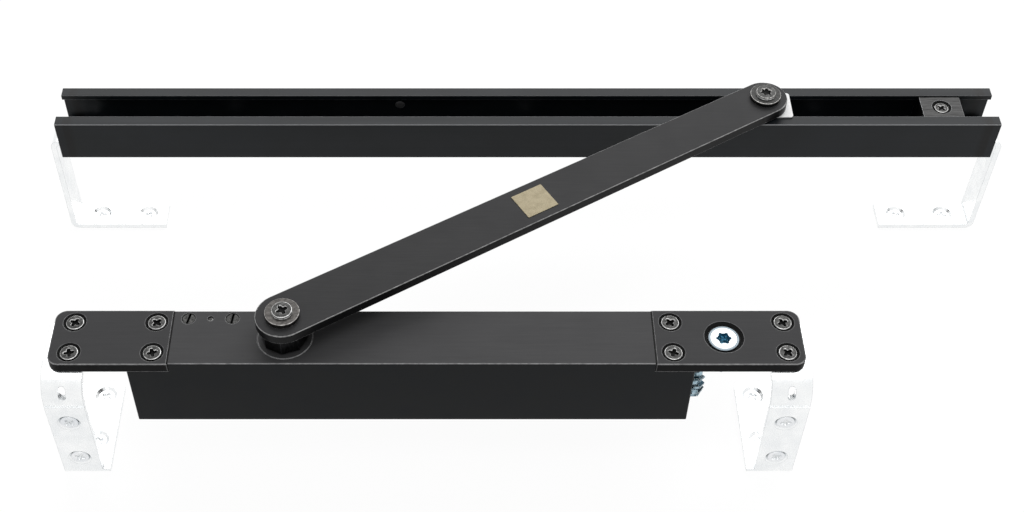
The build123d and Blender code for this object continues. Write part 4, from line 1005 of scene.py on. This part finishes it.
for name, body in (("door_bracket_foot_screws", "closer"), ("frame_bracket_foot_screws", "rail")):
    bm = bmesh.new()
    for number, (low, high) in enumerate(screws_of(name, 2)):
        at = (middle(low, high, 0), middle(low, high, 1), high[2])
        wide = high[0] - low[0]
        tall = high[2] - low[2]
        screw(bm, at, wide, 0.0, tall - LOW_RIM, wide - 2 * tall, tall, cross_outline, CROSS_SIZE,
              tall * FOOT_RECESS_SHARE, math.radians(25 + 31 * number))
    hang(name.replace("_screws", "_zinc_screws"), bm, body, name, screw_zinc,
         recess_zinc, screw_zinc)

# %% [markdown]
# The two big screws hold the arm: a cross recess over the spindle, and a six-lobe recess over
# the slider. Their heads are low cylinders with rounded rims, so they have no cone.

# %% Arm and pivot screws
SPINDLE_SHANK = 6.0
PIVOT_SHANK = 8.0
CHEESE_HEAD = 1.6
ARM_RECESS_DEPTH = 1.3
ARM_CROSS = 5.6
PIVOT_STAR = 5.8

low, high = box_mm("arm_screw")
at = (middle(low, high, 0), middle(low, high, 1), high[2])
bm = bmesh.new()
screw(bm, at, high[0] - low[0], CHEESE_HEAD, 0.0, SPINDLE_SHANK, high[2] - low[2], cross_outline, ARM_CROSS,
      ARM_RECESS_DEPTH, math.radians(32))
hang("arm_cross_screw", bm, "arm", "arm_screw", head_metal)

low, high = box_mm("pivot_screw")
at = (middle(low, high, 0), middle(low, high, 1), high[2])
bm = bmesh.new()
screw(bm, at, high[0] - low[0], CHEESE_HEAD, 0.0, PIVOT_SHANK, high[2] - low[2], star_outline, PIVOT_STAR,
      ARM_RECESS_DEPTH, math.radians(12))
hang("pivot_six_lobe_screw", bm, "arm", "pivot_screw", head_metal, rim=dark_washer)

# %% [markdown]
# The stop's screw is the small countersunk kind again. It clamps the stop in the channel, so it
# sits a little below the stop's top, and a near-black cone shell lies in its countersink as painted shade.

# %% Stop screw
STOP_SHANK = 4.0
STOP_HEAD = 7.4
STOP_RIM = 0.9
STOP_CROSS = 4.4
STOP_CROSS_DEPTH = 1.4
STOP_SUNK = 0.4
STOP_SINK_D = 10.3
STOP_SINK_DROP = 1.45

low, high = box_mm("stop_screw")
stop_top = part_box("stop_block")[1].z / MM
stop_face = stop_top - STOP_SUNK
at = (middle(low, high, 0), middle(low, high, 1), stop_face)
bm = bmesh.new()
screw(bm, at, STOP_HEAD, STOP_RIM, (STOP_HEAD - STOP_SHANK) / 2, STOP_SHANK, stop_face - low[2],
      cross_outline, STOP_CROSS, STOP_CROSS_DEPTH, math.radians(45))
hang("stop_cross_screw", bm, "stop", "stop_screw", head_metal)
countersinks("stop_countersink_shade", [(at[0], at[1], stop_top)], STOP_SINK_D, STOP_SINK_DROP, "stop")

# %% [markdown]
# The bolts in the frame brackets point the other way: their heads lie flush in the underside
# of the rail and are seen only from below.

# %% Bolts under the rail
BOLT_SHANK = 4.0
BOLT_CROSS_SHARE = 0.62
BOLT_CROSS_DEPTH = 1.4
FACE_DOWN = Matrix.Rotation(math.pi, 4, "X")

bm = bmesh.new()
for number, (low, high) in enumerate(screws_of("frame_bracket_bolts", 2)):
    wide = high[0] - low[0]
    at = (middle(low, high, 0), middle(low, high, 1), low[2])
    screw(bm, at, wide, 0.0, (wide - BOLT_SHANK) / 2 - LOW_RIM, BOLT_SHANK, high[2] - low[2], cross_outline,
          wide * BOLT_CROSS_SHARE, BOLT_CROSS_DEPTH, math.radians(15 + 50 * number), FACE_DOWN)
hang("frame_bracket_zinc_bolts", bm, "rail", "frame_bracket_bolts", screw_zinc,
     recess_zinc, screw_zinc)

# %% [markdown]
# A coil spring is wire wound on a cylinder, so it is a circle swept along a helix. It shortens
# when its piston comes, and a rigid copy would cut into the piston. Each spring here is built as
# a rigid helix in place of its node, which is hidden; the closing spring is built as two halves
# that meet at its middle.

# %% Coil springs
WIRE_SEGMENTS = 14
STEPS_PER_TURN = 26
CLOSING_WIRE = 4.2
CLOSING_TURNS = 13
DAMPER_WIRE = 1.8
DAMPER_TURNS = 5


def coil(name, node, wire_d, turns, stretch_of):
    low, high = box_mm(node)
    radius = (high[2] - low[2] - wire_d) / 2
    slant = math.atan((high[0] - low[0] - wire_d) / turns / (2 * math.pi * radius))
    half_wire = wire_d / 2 * math.cos(slant)
    pitch = (high[0] - low[0] - 2 * half_wire) / turns
    y, z = middle(low, high, 1), middle(low, high, 2)
    first, last = [round(share * turns * STEPS_PER_TURN) for share in stretch_of]
    bm = bmesh.new()
    before = None
    for step in range(first, last + 1):
        angle = 2 * math.pi * step / STEPS_PER_TURN
        outward = Vector((0, math.sin(angle), -math.cos(angle)))
        along = Vector((math.sin(slant), math.cos(slant) * math.cos(angle),
                        math.cos(slant) * math.sin(angle)))
        sideways = along.cross(outward)
        centre = Vector((low[0] + half_wire + pitch * step / STEPS_PER_TURN, y, z)) + radius * outward
        section = []
        for corner in range(WIRE_SEGMENTS):
            turn = 2 * math.pi * corner / WIRE_SEGMENTS
            to_skin = math.cos(turn) * outward + math.sin(turn) * sideways
            section.append(bm.verts.new(centre + wire_d / 2 * to_skin))
        if before:
            bridge(bm, before, section)
        else:
            bm.faces.new(section)
        before = section
    bm.faces.new(before)
    piece = shaped(name, bm, (wire,))
    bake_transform(piece)
    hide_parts(node)


coil("closing_spring_piston_half", "closing_spring", CLOSING_WIRE, CLOSING_TURNS, (0.0, 0.5))
coil("closing_spring_nut_half", "closing_spring", CLOSING_WIRE, CLOSING_TURNS, (0.5, 1.0))
coil("damper_coil", "damper_spring", DAMPER_WIRE, DAMPER_TURNS, (0.0, 1.0))

# %% [markdown]
# Before the end, every piece of the imported model must have a finish. This is checked by name,
# and the pieces without one are printed.

# %% Check and finish
bare = sorted(set(nodes) - dressed)
print("nodes without a finish:", bare)
